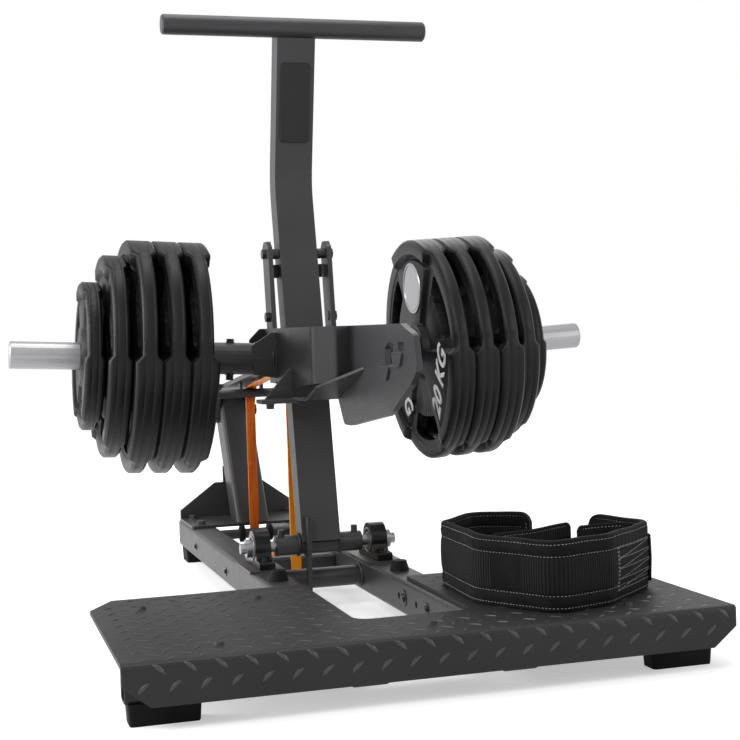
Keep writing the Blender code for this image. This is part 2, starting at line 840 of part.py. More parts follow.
def build_rear_post():
    plate_top = rail_top + gap + base_plate_thickness
    outline = [(-base_plate_half_width, base_plate_front), (base_plate_half_width, base_plate_front),
               (base_plate_half_width, base_plate_rear), (-base_plate_half_width, base_plate_rear)]
    forms = [plate_form([fillet(outline, 0.006, 3, True)], base_plate_thickness, "Z",
                        plate_top - base_plate_thickness / 2)]
    for side in (-1, 1):
        for y in base_bolt_places:
            forms += bolt_forms((side * base_bolt_x, y, plate_top), "Z", 1)
    piece("rear_base_plate", united(forms), base, frame_paint())
    outer = rounded_box(rear_post_width, rear_post_depth, rear_post_corner)
    inner = rounded_box(rear_post_width - 2 * rear_post_wall, rear_post_depth - 2 * rear_post_wall,
                        rear_post_corner - rear_post_wall)
    below = (hinge_z - plate_top) / math.cos(rear_post_lean) + rear_post_depth
    length = below + rear_post_over_pivot
    post = outline_mesh("rear_post", [outer, inner], length)
    shift = (rear_post_over_pivot - below) / 2
    place(post, base, (0, hinge_y + shift * math.sin(rear_post_lean), hinge_z + shift * math.cos(rear_post_lean)),
          (-rear_post_lean, 0, 0))
    smooth(dress(post, frame_paint()))
    below_plate = (cutter_reach, 2 * cutter_reach, cutter_reach)
    cut(post, box_form(below_plate, (0, hinge_y, plate_top + gap - cutter_reach / 2)), base)
    cut(post, cylinder_form(hinge_radius + running_gap, cutter_reach, "X", (0, hinge_y, hinge_z)), base)
    tab_z = hinge_z - (rear_post_rear(hinge_z) - (gusset_y - gusset_thickness / 2 - gap)) / math.tan(rear_post_lean)
    foot = plate_top + gap
    gusset = [(-base_plate_half_width, foot), (base_plate_half_width, foot), (base_plate_half_width, gusset_edge_z),
              (gusset_shoulder, gusset_shoulder_z), (rear_post_half, gusset_shoulder_z), (rear_post_half, tab_z),
              (-rear_post_half, tab_z), (-rear_post_half, gusset_shoulder_z), (-gusset_shoulder, gusset_shoulder_z),
              (-base_plate_half_width, gusset_edge_z)]
    plate("post_gusset", [gusset], gusset_thickness, "Y", gusset_y, base, frame_paint())


def build_handle():
    low = post_foot_z - post_overrun
    high = post_top_z + post_overrun
    path = fillet([(post_front_y(low), low), (post_bend_y, post_bend_z), (post_front_y(high), high)],
                  post_bend_radius, 8)
    post = plate("handle_post", [strip(path, 0, post_depth)], post_width, "X", 0, handle, frame_paint())
    hollow = plate_form([strip(path, post_wall, post_depth - post_wall)], post_width - 2 * post_wall, "X", 0)
    cut(post, hollow, handle)
    block = (cutter_reach, 2 * cutter_reach, cutter_reach)
    cut(post, box_form(block, (0, 0, post_foot_z - cutter_reach / 2)), handle)
    cut(post, box_form(block, (0, 0, post_top_z + cutter_reach / 2)), handle)
    cut(post, cylinder_form(shaft_tube_radius + gap, cutter_reach, "X", (0, 0, shaft_z)), handle)
    cut(post, cylinder_form(handle_radius + gap, cutter_reach, "X", (0, handle_y, handle_z)), handle)
    sunk = catch_reach + post_wall / 2
    blocks = [box_form((sunk, catch_depth, catch_height),
                       (side * (post_half + catch_reach - sunk / 2), catch_front + catch_depth / 2,
                        catch_top - catch_height / 2)) for side in (-1, 1)]
    boolean(post, cutter("handle_post_catches", many(blocks), handle), "UNION")
    straight = handle_half_length - handle_end_chamfer
    profile = [(handle_radius - handle_end_chamfer, handle_half_length), (handle_radius, straight),
               (handle_radius, -straight), (handle_radius - handle_end_chamfer, -handle_half_length)]
    piece("handle_bar", turned_form(profile, "X", (0, handle_y, handle_z)), handle, frame_paint())
    piece("shaft", cylinder_form(shaft_radius, 2 * shaft_end, "X", (0, 0, shaft_z)), handle, bright_steel())
    forms = [tube_form(shaft_tube_radius, shaft_tube_bore, 2 * shaft_tube_end, "X", (0, 0, shaft_z))]
    bearing_side = rail_spread + bearing_width / 2 + running_gap
    for side, word in sides:
        collar = tube_form(collar_radius, shaft_radius + gap, collar_width, "X",
                           (side * (bearing_side + collar_width / 2), 0, shaft_z))
        piece(f"shaft_collar_{word}", collar, handle, bright_steel())
        forms += bolt_forms((side * set_screw_x, 0, shaft_z + shaft_tube_radius - 0.0005), "Z", 1, across=0.011,
                            head=0.010, washer=0.0065)
    piece("shaft_tube", united(forms), handle, frame_paint())
    lean = math.atan(-post_upper_slope)
    length = (badge_top - badge_bottom) / math.cos(lean)
    middle_z = (badge_top + badge_bottom) / 2
    badge = outline_mesh("badge_plate", [rounded_box(badge_width, length, badge_corner, 3)], badge_thickness)
    out = gap + badge_thickness / 2
    place(badge, handle, (0, post_front_y(middle_z) - out * math.cos(lean), middle_z - out * math.sin(lean)),
          (math.pi / 2 + lean, 0, 0))
    dress(badge, black_plastic())


def build_fin():
    edge = gap / math.cos(math.atan(post_lower_slope))
    outline = [(fin_top_y, fin_top_z), *fin_nose, (fin_nose[-1][0], shaft_z),
               (post_front_y(post_foot_z) - edge, post_foot_z), (post_front_y(fin_top_z) - edge, fin_top_z)]
    fin = plate("stop_fin", [outline], fin_thickness, "X", fin_x, handle, frame_paint())
    cut(fin, cylinder_form(shaft_tube_radius + gap, cutter_reach, "X", (0, 0, shaft_z)), handle)


def build_beam():
    front = back_plate_rear + gap
    outline = [(front, beam_top(front)), (front, beam_top(front) - beam_thickness),
               (beam_rear, beam_top(beam_rear) - beam_thickness), (beam_rear, beam_top(beam_rear))]
    plate("lever_beam", [outline], 2 * beam_half_width, "X", 0, lever, frame_paint())
    for side, word in sides:
        lower = [Vector((hinge_y + lug_radius * math.cos(angle), hinge_z + lug_radius * math.sin(angle)))
                 for angle in (math.radians(180 + 180 * step / 12) for step in range(13))]
        outline = lower + [Vector((beam_rear, beam_top(beam_rear))),
                           Vector((hinge_y - 0.070, beam_top(hinge_y - 0.070)))]
        hole = circle((hinge_y, hinge_z), hinge_radius + gap)
        plate(f"hinge_lug_{word}", [outline, hole], lug_thickness, "X", side * (lug_inner + lug_thickness / 2),
              lever, frame_paint())
    outside = lug_inner + lug_thickness + gap
    pin = cylinder_form(hinge_radius, 2 * outside + 0.002, "X", (0, hinge_y, hinge_z))
    made = piece("hinge_pin", pin, lever, black_steel())
    heads = [cylinder_form(0.0139, 0.009, "X", (side * (outside + 0.0045), hinge_y, hinge_z), hexagon_facets)
             for side in (-1, 1)]
    boolean(made, cutter("hinge_pin_heads", many(heads), lever), "UNION")


def build_band_bars():
    strand_z = beam_top(front_rod_y) - beam_thickness - band_beam_clearance - band_thickness / 2
    rod_z = strand_z - band_thickness / 2 - 2 * gap - front_rod_radius
    for name, radius, half_length, y, z in (
            ("band_crossbar", crossbar_radius, crossbar_half_length, band_peg_y, crossbar_z),
            ("band_rod", front_rod_radius, front_rod_half_length, front_rod_y, rod_z)):
        ceiling = beam_top(y) - beam_thickness - gap
        slope = beam_slope * hanger_half_depth
        shape = [(y - radius * 0.7, z), (y + radius * 0.7, z), (y + hanger_half_depth, ceiling + slope),
                 (y - hanger_half_depth, ceiling - slope)]
        hangers = [plate_form([shape], hanger_thickness, "X", side * hanger_x) for side in (-1, 1)]
        bar = united([cylinder_form(radius, 2 * half_length, "X", (0, y, z)), *hangers])
        piece(name, bar, lever, frame_paint())
    return strand_z


def build_band(strand_z):
    half = band_thickness / 2 + gap
    rear_low = band_peg_y + band_peg_radius + half
    peg_low = band_peg_z - band_peg_radius - half
    under = middle_cross_z - middle_cross_height / 2 - half - gap
    climb = (peg_low - under) / (rear_low - middle_cross_front - middle_cross_depth)
    low_z = under - climb * (middle_cross_depth + half)
    rear_high = band_peg_y + crossbar_radius + half
    front_y = middle_cross_front - half
    rear_z = crossbar_z + crossbar_radius + half
    slope = (strand_z - rear_z) / (rear_high - front_rod_y)
    path = fillet([(front_y, low_z), (rear_low, peg_low), (rear_high, rear_z),
                   (front_y, strand_z + slope * (front_rod_y - front_y))],
                  [0.004, band_peg_radius + half, crossbar_radius + half, front_rod_radius + half],
                  band_steps, True)
    loops = [offset_path(path, band_thickness / 2, True), offset_path(path, -band_thickness / 2, True)]
    plate("resistance_band", loops, band_width, "X", 0, base, orange_rubber())


def wall_outline():
    above = head_top + mask_overrun
    return fillet([(back_plate_front + mask_overrun, above), (back_plate_front + mask_overrun, wall_rear_bottom),
                   *wall_profile, (wall_profile[-1][0], above)], [0, 0, *wall_profile_rounds, 0], 3, True)


def floor_path():
    return [Vector((floor_rear_y, floor_rear_z)), Vector((floor_bend_y, floor_bend_z)),
            Vector((floor_tip_y - 0.03, floor_tip_z + 0.03 * (floor_tip_z - floor_bend_z)
                    / (floor_bend_y - floor_tip_y)))]


def build_head():
    shoulder = [(-back_plate_half_width, back_plate_bottom), (back_plate_half_width, back_plate_bottom),
                (back_plate_half_width, head_top - 0.021), (back_plate_shoulder, head_top),
                (-back_plate_shoulder, head_top), (-back_plate_half_width, head_top - 0.021)]
    plate("back_plate", [fillet(shoulder, 0.004, 2, True)], back_plate_thickness, "Y",
          back_plate_front + back_plate_thickness / 2, lever, frame_paint())
    nose_gap = hook_thickness / 2 + gap
    for side, name in ((-1, "head_wall_left"), (1, "head_wall_right")):
        inner = [Vector((side * wall_inner, back_plate_front - gap)), Vector((side * wall_inner, wall_fold_y)),
                 Vector((side * seam_x, seam_y)), Vector((side * nose_gap, nose_y))]
        path = fillet(inner, [0, 0.012, 0.003, 0], bend_steps)
        ends = (0, wall_thickness) if side < 0 else (-wall_thickness, 0)
        wall = plate(name, [strip(path, *ends)], 0.2, "Z", head_top - 0.1, lever, frame_paint())
        mask = plate_form([wall_outline()], 0.2, "X", side * 0.06)
        boolean(wall, cutter(f"{name}_outline", mask, lever), "INTERSECT")
        boolean(wall, cutter(f"{name}_floor", floor_clear_form(side), lever))
        boolean(wall, cutter(f"{name}_nose", hook_clear_form(), lever))
    build_floor()


def floor_clear_form(side):
    """Space of the floor plates and all below them, with a little clearance, within the walls."""
    path = [Vector((0.02, floor_rear_z)), *floor_path()[1:]]
    deep = [*path, Vector((path[-1].x, 0.30)), Vector((0.02, 0.30))]
    raised = [point + Vector((0, floor_thickness / 2 + 0.0008)) for point in path]
    outline = [*raised, *deep[3:]]
    reach = wall_inner - gap
    return plate_form([outline], reach, "X", side * reach / 2)


def hook_clear_form():
    thickness = hook_thickness + 2 * gap
    return box_form((thickness, 0.2, 0.3), (0, nose_y, head_top - 0.05))


def build_floor():
    inner = hook_thickness / 2 + gap
    outer = wall_inner - gap
    half = floor_thickness / 2
    for side, word in sides:
        plan = [(side * inner, floor_notch_y), (side * (outer - 0.009), floor_rear_y), (side * outer, floor_rear_y),
                (side * outer, wall_fold_y), (side * (inner + 0.001), floor_tip_y), (side * inner, floor_tip_y)]
        made = piece(f"head_floor_{word}", plate_form([plan], 0.4, "Z", floor_bend_z), lever, frame_paint())
        slab = plate_form([strip(floor_path(), -half, half)], 0.3, "X", 0)
        boolean(made, cutter(f"head_floor_{word}_slab", slab, lever), "INTERSECT")


def build_hook():
    outline = fillet([(hook_rear_y, head_top), *hook_profile, (hook_front_y, head_top)],
                     [hook_top_round, *hook_rounds, hook_top_round], 2, True)
    slots = [fillet(rear_slot, rear_slot_rounds, 2, True), fillet(front_slot, front_slot_round, 2, True)]
    forms = [plate_form([outline, *slots], hook_thickness, "X", 0)]
    face = weld_sink - hook_thickness / 2
    for centre_y, top, half in hook_tongues:
        bottom = top - hook_tongue_height
        shape = fillet([(centre_y - half, top), (centre_y + half, top), (centre_y + half * 0.7, bottom),
                        (centre_y - half * 0.5, bottom)], [0.003, 0.003, 0.010, 0.010], 2, True)
        forms.append(plate_form([shape], hook_tongue_thickness, "X", face - hook_tongue_thickness / 2))
    piece("hook_plate", united(forms), lever, frame_paint())


def build_links():
    top = link_top_z
    half = link_width / 2
    middle = wall_inner - gap - link_thickness / 2
    inner_face = middle - link_thickness / 2
    for side, word in sides:
        outline = [(link_y(link_bottom_z) - half, link_bottom_z), (link_y(link_bottom_z) + half, link_bottom_z),
                   (link_y(top - 0.012) + half, top - 0.012), (link_y(top) + half - 0.014, top),
                   (link_y(top) - half + 0.014, top), (link_y(top - 0.012) - half, top - 0.012)]
        forms = [plate_form([outline], link_thickness, "X", side * middle)]
        for z, reach in ((link_axis_z, inner_face - post_half - link_stub_gap), (link_lower_bolt_z, link_bolt_end)):
            forms.append(cylinder_form(0.0105, 0.007 + weld_sink, "X",
                                       (side * (middle + link_thickness / 2 + 0.0035), link_y(z), z),
                                       hexagon_facets))
            forms.append(cylinder_form(stub_radius, reach + weld_sink, "X",
                                       (side * (inner_face - reach / 2 + weld_sink / 2), link_y(z), z)))
        piece(f"link_{word}", united(forms), lever, frame_paint())


def united(forms):
    """Union of forms that overlap, as one closed form."""
    whole = mesh_object("scrap_whole", forms[0])
    others = [mesh_object(f"scrap_{index}", form) for index, form in enumerate(forms[1:])]
    for other in others:
        boolean(whole, other, "UNION")
    return taken(whole, others)


def taken(whole, others):
    """The finished shape of a scrap object as a form, with all the scraps removed."""
    bpy.context.view_layer.update()
    mesh = bpy.data.meshes.new_from_object(whole.evaluated_get(bpy.context.evaluated_depsgraph_get()))
    form = bmesh.new()
    form.from_mesh(mesh)
    for scrap in [whole, *others]:
        old = scrap.data
        bpy.data.objects.remove(scrap, do_unlink=True)
        bpy.data.meshes.remove(old)
    bpy.data.meshes.remove(mesh)
    return form


def tilted(form, side):
    """Turn a form from the stack's own axis to machine coordinates."""
    pivot = stack_right if side > 0 else stack_left
    turn = Matrix.Translation(pivot.location) @ pivot.rotation_euler.to_matrix().to_4x4()
    bmesh.ops.transform(form, matrix=turn, verts=form.verts)
    return form


def build_sleeves():
    wall_face = wall_inner + wall_thickness + gap
    face = holder_radius - bracket_thickness / 2 - weld_sink
    rise = math.tan(sleeve_tilt) * bracket_reach
    low = sleeve_z - holder_radius
    high = sleeve_z + holder_radius - 0.004
    arm_rear = back_plate_front - gap
    arm_front = sleeve_y + face
    for side, word in sides:
        holder = tilted(cylinder_form(holder_radius, holder_end - bracket_reach + 0.030, "Z",
                                      (0, 0, (holder_end + bracket_reach - 0.030) / 2)), side)
        bracket = [(side * wall_face, low - 0.002), (side * bracket_reach, low + rise),
                   (side * bracket_reach, high + rise), (side * (wall_face + 0.010), head_top - 0.008),
                   (side * wall_face, head_top - 0.008)]
        rear = [(side * wall_face, low + 0.006), (side * bracket_reach, low + rise),
                (side * bracket_reach, high + rise), (side * wall_face, high + 0.019)]
        arm = box_form((0.020, arm_rear - arm_front, 0.040),
                       (side * (wall_face + 0.014), (arm_rear + arm_front) / 2, sleeve_z + 0.002))
        core = box_form((bracket_reach - wall_face, 2 * face, 0.030),
                        (side * (bracket_reach + wall_face) / 2, sleeve_y, sleeve_z + rise / 2))
        forms = [holder, core, plate_form([bracket], bracket_thickness, "Y", sleeve_y - face),
                 plate_form([rear], bracket_thickness, "Y", sleeve_y + face), arm]
        for end, head in ((1, 0.006), (-1, 0.010)):
            for form in bolt_forms((0, 0, end * (holder_radius - 0.001)), "Z", end, 0.013, head, 0.009):
                bmesh.ops.rotate(form, matrix=Matrix.Rotation(math.radians(-90), 3, "Y"), verts=form.verts)
                bmesh.ops.translate(form, vec=(0, 0, holder_bolt_s), verts=form.verts)
                forms.append(tilted(form, side))
        piece(f"sleeve_holder_{word}", united(forms), lever, frame_paint())
        piece(f"sleeve_{word}", tilted(sleeve_form(), side), lever, bright_steel())


def sleeve_form():
    """Solid loading sleeve with a chamfered end, seated on the holder's face."""
    start = holder_end + gap
    chamfer = 0.002
    profile = [(sleeve_radius - chamfer, sleeve_end), (sleeve_radius, sleeve_end - chamfer),
               (sleeve_radius, start)]
    return turned_form(profile, "Z", (0, 0, 0))


def build_stops():
    wall_face = wall_inner + wall_thickness + gap
    for side, word in sides:
        middle = (wall_face + stop_end) / 2
        shelf = box_form((stop_end - wall_face, stop_length, stop_thickness), (side * middle, stop_y, stop_z))
        rib = plate_form([[(side * wall_face, stop_z), (side * (stop_end - 0.012), stop_z),
                           (side * (wall_face + 0.006), 0.455), (side * wall_face, 0.455)]],
                         0.006, "Y", stop_y + stop_length / 2 - 0.004)
        screw = bolt_forms((side * stop_bolt_x, stop_y, stop_z - stop_thickness / 2), "Z", -1, across=0.013,
                           head=0.008, washer=0.009)
        piece(f"stop_bracket_{word}", united([shelf, rib, *screw]), lever, frame_paint())


def disc_ring(radius, thickness, recess, rim, angle):
    """Half section of a disc at an angle about its axis, as radius and height pairs around the metal."""
    sector = math.tau / 3
    within = abs((angle + sector / 2) % sector - sector / 2)
    edge = disc_window_half_angle
    share = min(1, max(0, (edge + disc_step_angle - within) / disc_step_angle))
    half = thickness / 2
    rim_half = half - recess * share
    web = half * (disc_spoke_share + (disc_web_share - disc_spoke_share) * share)
    hub = half * disc_hub_share
    bore = sleeve_radius + disc_bore_clearance
    inner = radius - rim
    chamfer = min(0.004, rim_half * 0.3)
    upper = [(bore, hub), (disc_hub_radius, hub), (disc_hub_radius + 0.008, web), (inner - 0.006, web),
             (inner, rim_half), (radius - chamfer, rim_half), (radius, rim_half - chamfer)]
    return upper + [(reach, -height) for reach, height in reversed(upper)]


def disc_angles():
    """Angles of a disc's sections: even steps over each grip sector and over each land between them."""
    edge = disc_window_half_angle
    land = edge + disc_step_angle
    third = math.tau / 3
    angles = []
    for number in range(3):
        for start, end in ((-edge, edge), (land, third - land)):
            angles += [number * third + start + (end - start) * step / disc_arc_steps
                       for step in range(disc_arc_steps + 1)]
    return angles


def disc_form(size):
    """Disc lofted around its axis, so that its rim steps between lands and grip sectors."""
    form = bmesh.new()
    rings = []
    for angle in disc_angles():
        profile = disc_ring(size["radius"], size["thickness"], size["recess"], size["rim"], angle)
        rings.append([form.verts.new((reach * math.cos(angle), reach * math.sin(angle), height))
                      for reach, height in profile])
    count = len(rings[0])
    for index, ring in enumerate(rings):
        following = rings[(index + 1) % len(rings)]
        for step in range(count):
            form.faces.new((ring[step], ring[(step + 1) % count], following[(step + 1) % count], following[step]))
    bmesh.ops.recalc_face_normals(form, faces=form.faces)
    return form


def window_form(size, third):
    """Grip window between the hub and the rim."""
    inner = size["radius"] * disc_window_inner
    outer = size["radius"] * disc_window_outer
    near, far = disc_window_turns
    corners = [(inner * math.cos(-near), inner * math.sin(-near)),
               (outer * math.cos(-far), outer * math.sin(-far)), (outer, 0),
               (outer * math.cos(far), outer * math.sin(far)), (inner * math.cos(near), inner * math.sin(near))]
    form = plate_form([fillet(corners, [0.008, 0.010, 0, 0.010, 0.008], 1, True)], 0.1, "Z", 0)
    bmesh.ops.rotate(form, matrix=Matrix.Rotation(math.tau / 3 * third, 3, "Z"), verts=form.verts)
    return form


def build_discs():
    order = [("large", large_disc)] * 3 + [("medium", medium_disc), ("small", small_disc)]
    for pivot, word in ((stack_left, "left"), (stack_right, "right")):
        reach = disc_start
        for number, (kind, size) in enumerate(order, 1):
            made = mesh_object(f"disc_{word}_{number}", disc_form(size))
            dress(made, disc_rubber())
            smooth(made, 30)
            made.parent = pivot
            made.location = (0, 0, reach + size["thickness"] / 2)
            windows = mesh_object(f"{made.name}_windows", many([window_form(size, third) for third in range(3)]),
                                  cutters)
            windows.parent = made
            windows.hide_render = True
            windows.display_type = "WIRE"
            boolean(made, windows)
            reach += size["thickness"] + gap


def build_belt():
    path = fillet(belt_path, belt_corners, belt_steps)
    foot = deck_top + gap
    belt = outline_mesh("belt", [strip(path, 0, belt_thickness)], belt_height)
    place(belt, belt_stand, (0, 0, foot + belt_height / 2))
    smooth(dress(belt, belt_fabric()), 50)
    start = Vector(belt_path[-3]).lerp(Vector(belt_path[-2]), 0.35)
    finish = Vector(belt_path[-2]) + (Vector(belt_path[-2]) - start).normalized() * strap_overhang
    seat = belt_thickness + gap
    strap = outline_mesh("belt_strap", [strip([start, finish], seat, seat + strap_thickness)], strap_height)
    place(strap, belt_stand, (0, 0, foot + belt_height / 2))
    dress(strap, belt_fabric())


build_rails()
build_cross_members()
build_platform()
build_feet()
build_bumpers()
build_bearings()
build_rear_post()
build_handle()
build_fin()
build_beam()
build_band(build_band_bars())
build_head()
build_hook()
build_links()
build_sleeves()
build_stops()
build_discs()
build_belt()
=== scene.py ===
# Belt squat machine: camera, light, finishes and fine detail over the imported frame
import bmesh
import bpy
import json
import math
from mathutils import Matrix, Vector


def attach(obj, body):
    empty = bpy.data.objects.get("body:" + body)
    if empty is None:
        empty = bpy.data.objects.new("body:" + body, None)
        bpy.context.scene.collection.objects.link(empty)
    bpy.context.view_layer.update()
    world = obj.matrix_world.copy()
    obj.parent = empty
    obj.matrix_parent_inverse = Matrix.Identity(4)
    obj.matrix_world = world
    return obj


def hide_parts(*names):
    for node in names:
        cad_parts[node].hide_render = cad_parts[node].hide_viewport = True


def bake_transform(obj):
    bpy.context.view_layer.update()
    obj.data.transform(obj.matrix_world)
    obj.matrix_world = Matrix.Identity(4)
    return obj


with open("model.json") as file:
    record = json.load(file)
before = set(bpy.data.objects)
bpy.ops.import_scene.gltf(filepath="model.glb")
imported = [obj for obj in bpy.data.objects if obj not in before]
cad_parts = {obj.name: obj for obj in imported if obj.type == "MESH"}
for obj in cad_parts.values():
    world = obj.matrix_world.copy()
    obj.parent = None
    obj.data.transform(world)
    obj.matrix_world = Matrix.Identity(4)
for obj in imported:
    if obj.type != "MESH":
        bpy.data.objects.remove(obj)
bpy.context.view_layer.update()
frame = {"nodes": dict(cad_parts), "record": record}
nodes = frame["nodes"]
tau = math.tau
sides = ((-1, "left"), (1, "right"))

# The machine was drawn with its shaft over y = 0 and its rails' datum at z = 0
drawnAt = Vector((0, -0.0494619212, 0.0125))


def objectOf(name, data, matrix=None):
    made = bpy.data.objects.new(name, data)
    bpy.context.scene.collection.objects.link(made)
    if matrix is not None:
        made.matrix_world = matrix
    return made


# Camera, fitted to the straight edges and round faces in the photograph
camera = {
    "place": (-0.6789, -2.6869, 0.5376),
    "right": (0.9568, -0.2889, -0.0322),
    "up": (0.0392, 0.0186, 0.9991),
    "lens": 69.44,
    "sensor": 36,
    "sight": 60,
}


def setCamera():
    data = bpy.data.cameras.new("photoCamera")
    right = Vector(camera["right"]).normalized()
    back = right.cross(Vector(camera["up"])).normalized()
    up = back.cross(right)
    turn = Matrix((right, up, back)).transposed().to_4x4()
    made = objectOf("photoCamera", data, Matrix.Translation(camera["place"]) @ turn)
    data.lens = camera["lens"]
    data.sensor_width = camera["sensor"]
    data.clip_end = camera["sight"]
    bpy.context.scene.camera = made
    bpy.context.scene.view_settings.view_transform = "Standard"


class Wiring:
    # a node tree under construction

    def __init__(self, tree):
        self.tree = tree

    def feed(self, node, inputs):
        # outputs of other nodes are wired to the sockets, numbers and colours are set on them
        for socket, value in inputs.items():
            if isinstance(value, bpy.types.NodeSocket):
                self.tree.links.new(value, node.inputs[socket])
            else:
                node.inputs[socket].default_value = value

    def add(self, kind, inputs=None, **settings):
        node = self.tree.nodes.new(kind)
        for key, value in settings.items():
            setattr(node, key, value)
        self.feed(node, inputs or {})
        return node

    def rays(self, *kinds):
        # 1 for a ray of any of these kinds, 0 for all others
        path = self.add("ShaderNodeLightPath")
        met = path.outputs[kinds[0]]
        for kind in kinds[1:]:
            met = self.add("ShaderNodeMath", {0: met, 1: path.outputs[kind]}, operation="MAXIMUM").outputs[0]
        return met


# Lamps, world and floor
studio = {
    "worldLevel": 0.40,
    "lamps": [  # name, place, aims at, size, watts
        ("keyLeft", (-2.4, -2.6, 2.6), (0, -0.1, 0.5), 1.5, 80),
        ("fillRight", (2.6, -2.4, 1.5), (0.1, -0.2, 0.4), 1.6, 30),
        ("topSoft", (0.1, 0.1, 3.2), (0, 0, 0.3), 1.8, 36),
        ("rimBack", (1.2, 2.8, 2.2), (0, 0.1, 0.5), 1.6, 10),
        ("sideLeft", (-3.2, 0.9, 1.3), (0, 0, 0.6), 2.0, 100),
    ],
    "white": (1, 1, 1, 1),
    "floorHalf": 14,
    "floorColour": (0.80, 0.80, 0.80, 1),
    "floorGlow": 0.46,
    "farGlow": 0.86,          # far floor, which the lamps hardly reach
    "farFrom": (1.6, 4.5),    # where the glow starts to change, and where it has changed
}


def setLights():
    for name, place, aim, size, watts in studio["lamps"]:
        data = bpy.data.lights.new(name, "AREA")
        data.shape = "DISK"
        data.size = size
        data.energy = watts
        lamp = objectOf(name, data)
        lamp.location = place
        lamp.rotation_euler = (Vector(aim) - Vector(place)).to_track_quat("-Z", "Y").to_euler()


def setWorld():
    # camera, mirror and glass rays meet plain white, all others meet the soft level
    world = bpy.data.worlds.new("studioWorld")
    bpy.context.scene.world = world
    world.use_nodes = True
    world.node_tree.nodes.clear()
    sky = Wiring(world.node_tree)
    soft = sky.add("ShaderNodeBackground", {"Color": studio["white"], "Strength": studio["worldLevel"]})
    plainWhite = sky.add("ShaderNodeBackground", {"Color": studio["white"], "Strength": 1.0})
    seen = sky.rays("Is Camera Ray", "Is Glossy Ray", "Is Transmission Ray")
    mix = sky.add("ShaderNodeMixShader", {0: seen, 1: soft.outputs[0], 2: plainWhite.outputs[0]})
    sky.add("ShaderNodeOutputWorld", {"Surface": mix.outputs[0]})


def setFloor():
    # pale paint that keeps the shadow, with a glow that only the camera and reflections see
    form = bmesh.new()
    bmesh.ops.create_grid(form, x_segments=2, y_segments=2, size=studio["floorHalf"])
    mesh = bpy.data.meshes.new("studioFloor")
    form.to_mesh(mesh)
    form.free()
    floor = objectOf("studioFloor", mesh)
    material = bpy.data.materials.new("paleFloor")
    material.use_nodes = True
    material.node_tree.nodes.clear()
    wires = Wiring(material.node_tree)
    paint = wires.add("ShaderNodeBsdfDiffuse", {"Color": studio["floorColour"]})
    spot = wires.add("ShaderNodeTexCoord")
    away = wires.add("ShaderNodeVectorMath", {0: spot.outputs["Object"]}, operation="LENGTH")
    level = wires.add("ShaderNodeMapRange", {
        "Value": away.outputs["Value"],
        "From Min": studio["farFrom"][0], "From Max": studio["farFrom"][1],
        "To Min": studio["floorGlow"], "To Max": studio["farGlow"],
    }, interpolation_type="SMOOTHSTEP")
    glow = wires.add("ShaderNodeEmission", {"Color": studio["white"], "Strength": level.outputs["Result"]})
    both = wires.add("ShaderNodeAddShader", {0: paint.outputs[0], 1: glow.outputs[0]})
    seen = wires.rays("Is Camera Ray", "Is Glossy Ray")
    mix = wires.add("ShaderNodeMixShader", {0: seen, 1: paint.outputs[0], 2: both.outputs[0]})
    wires.add("ShaderNodeOutputMaterial", {"Surface": mix.outputs[0]})
    mesh.materials.append(material)


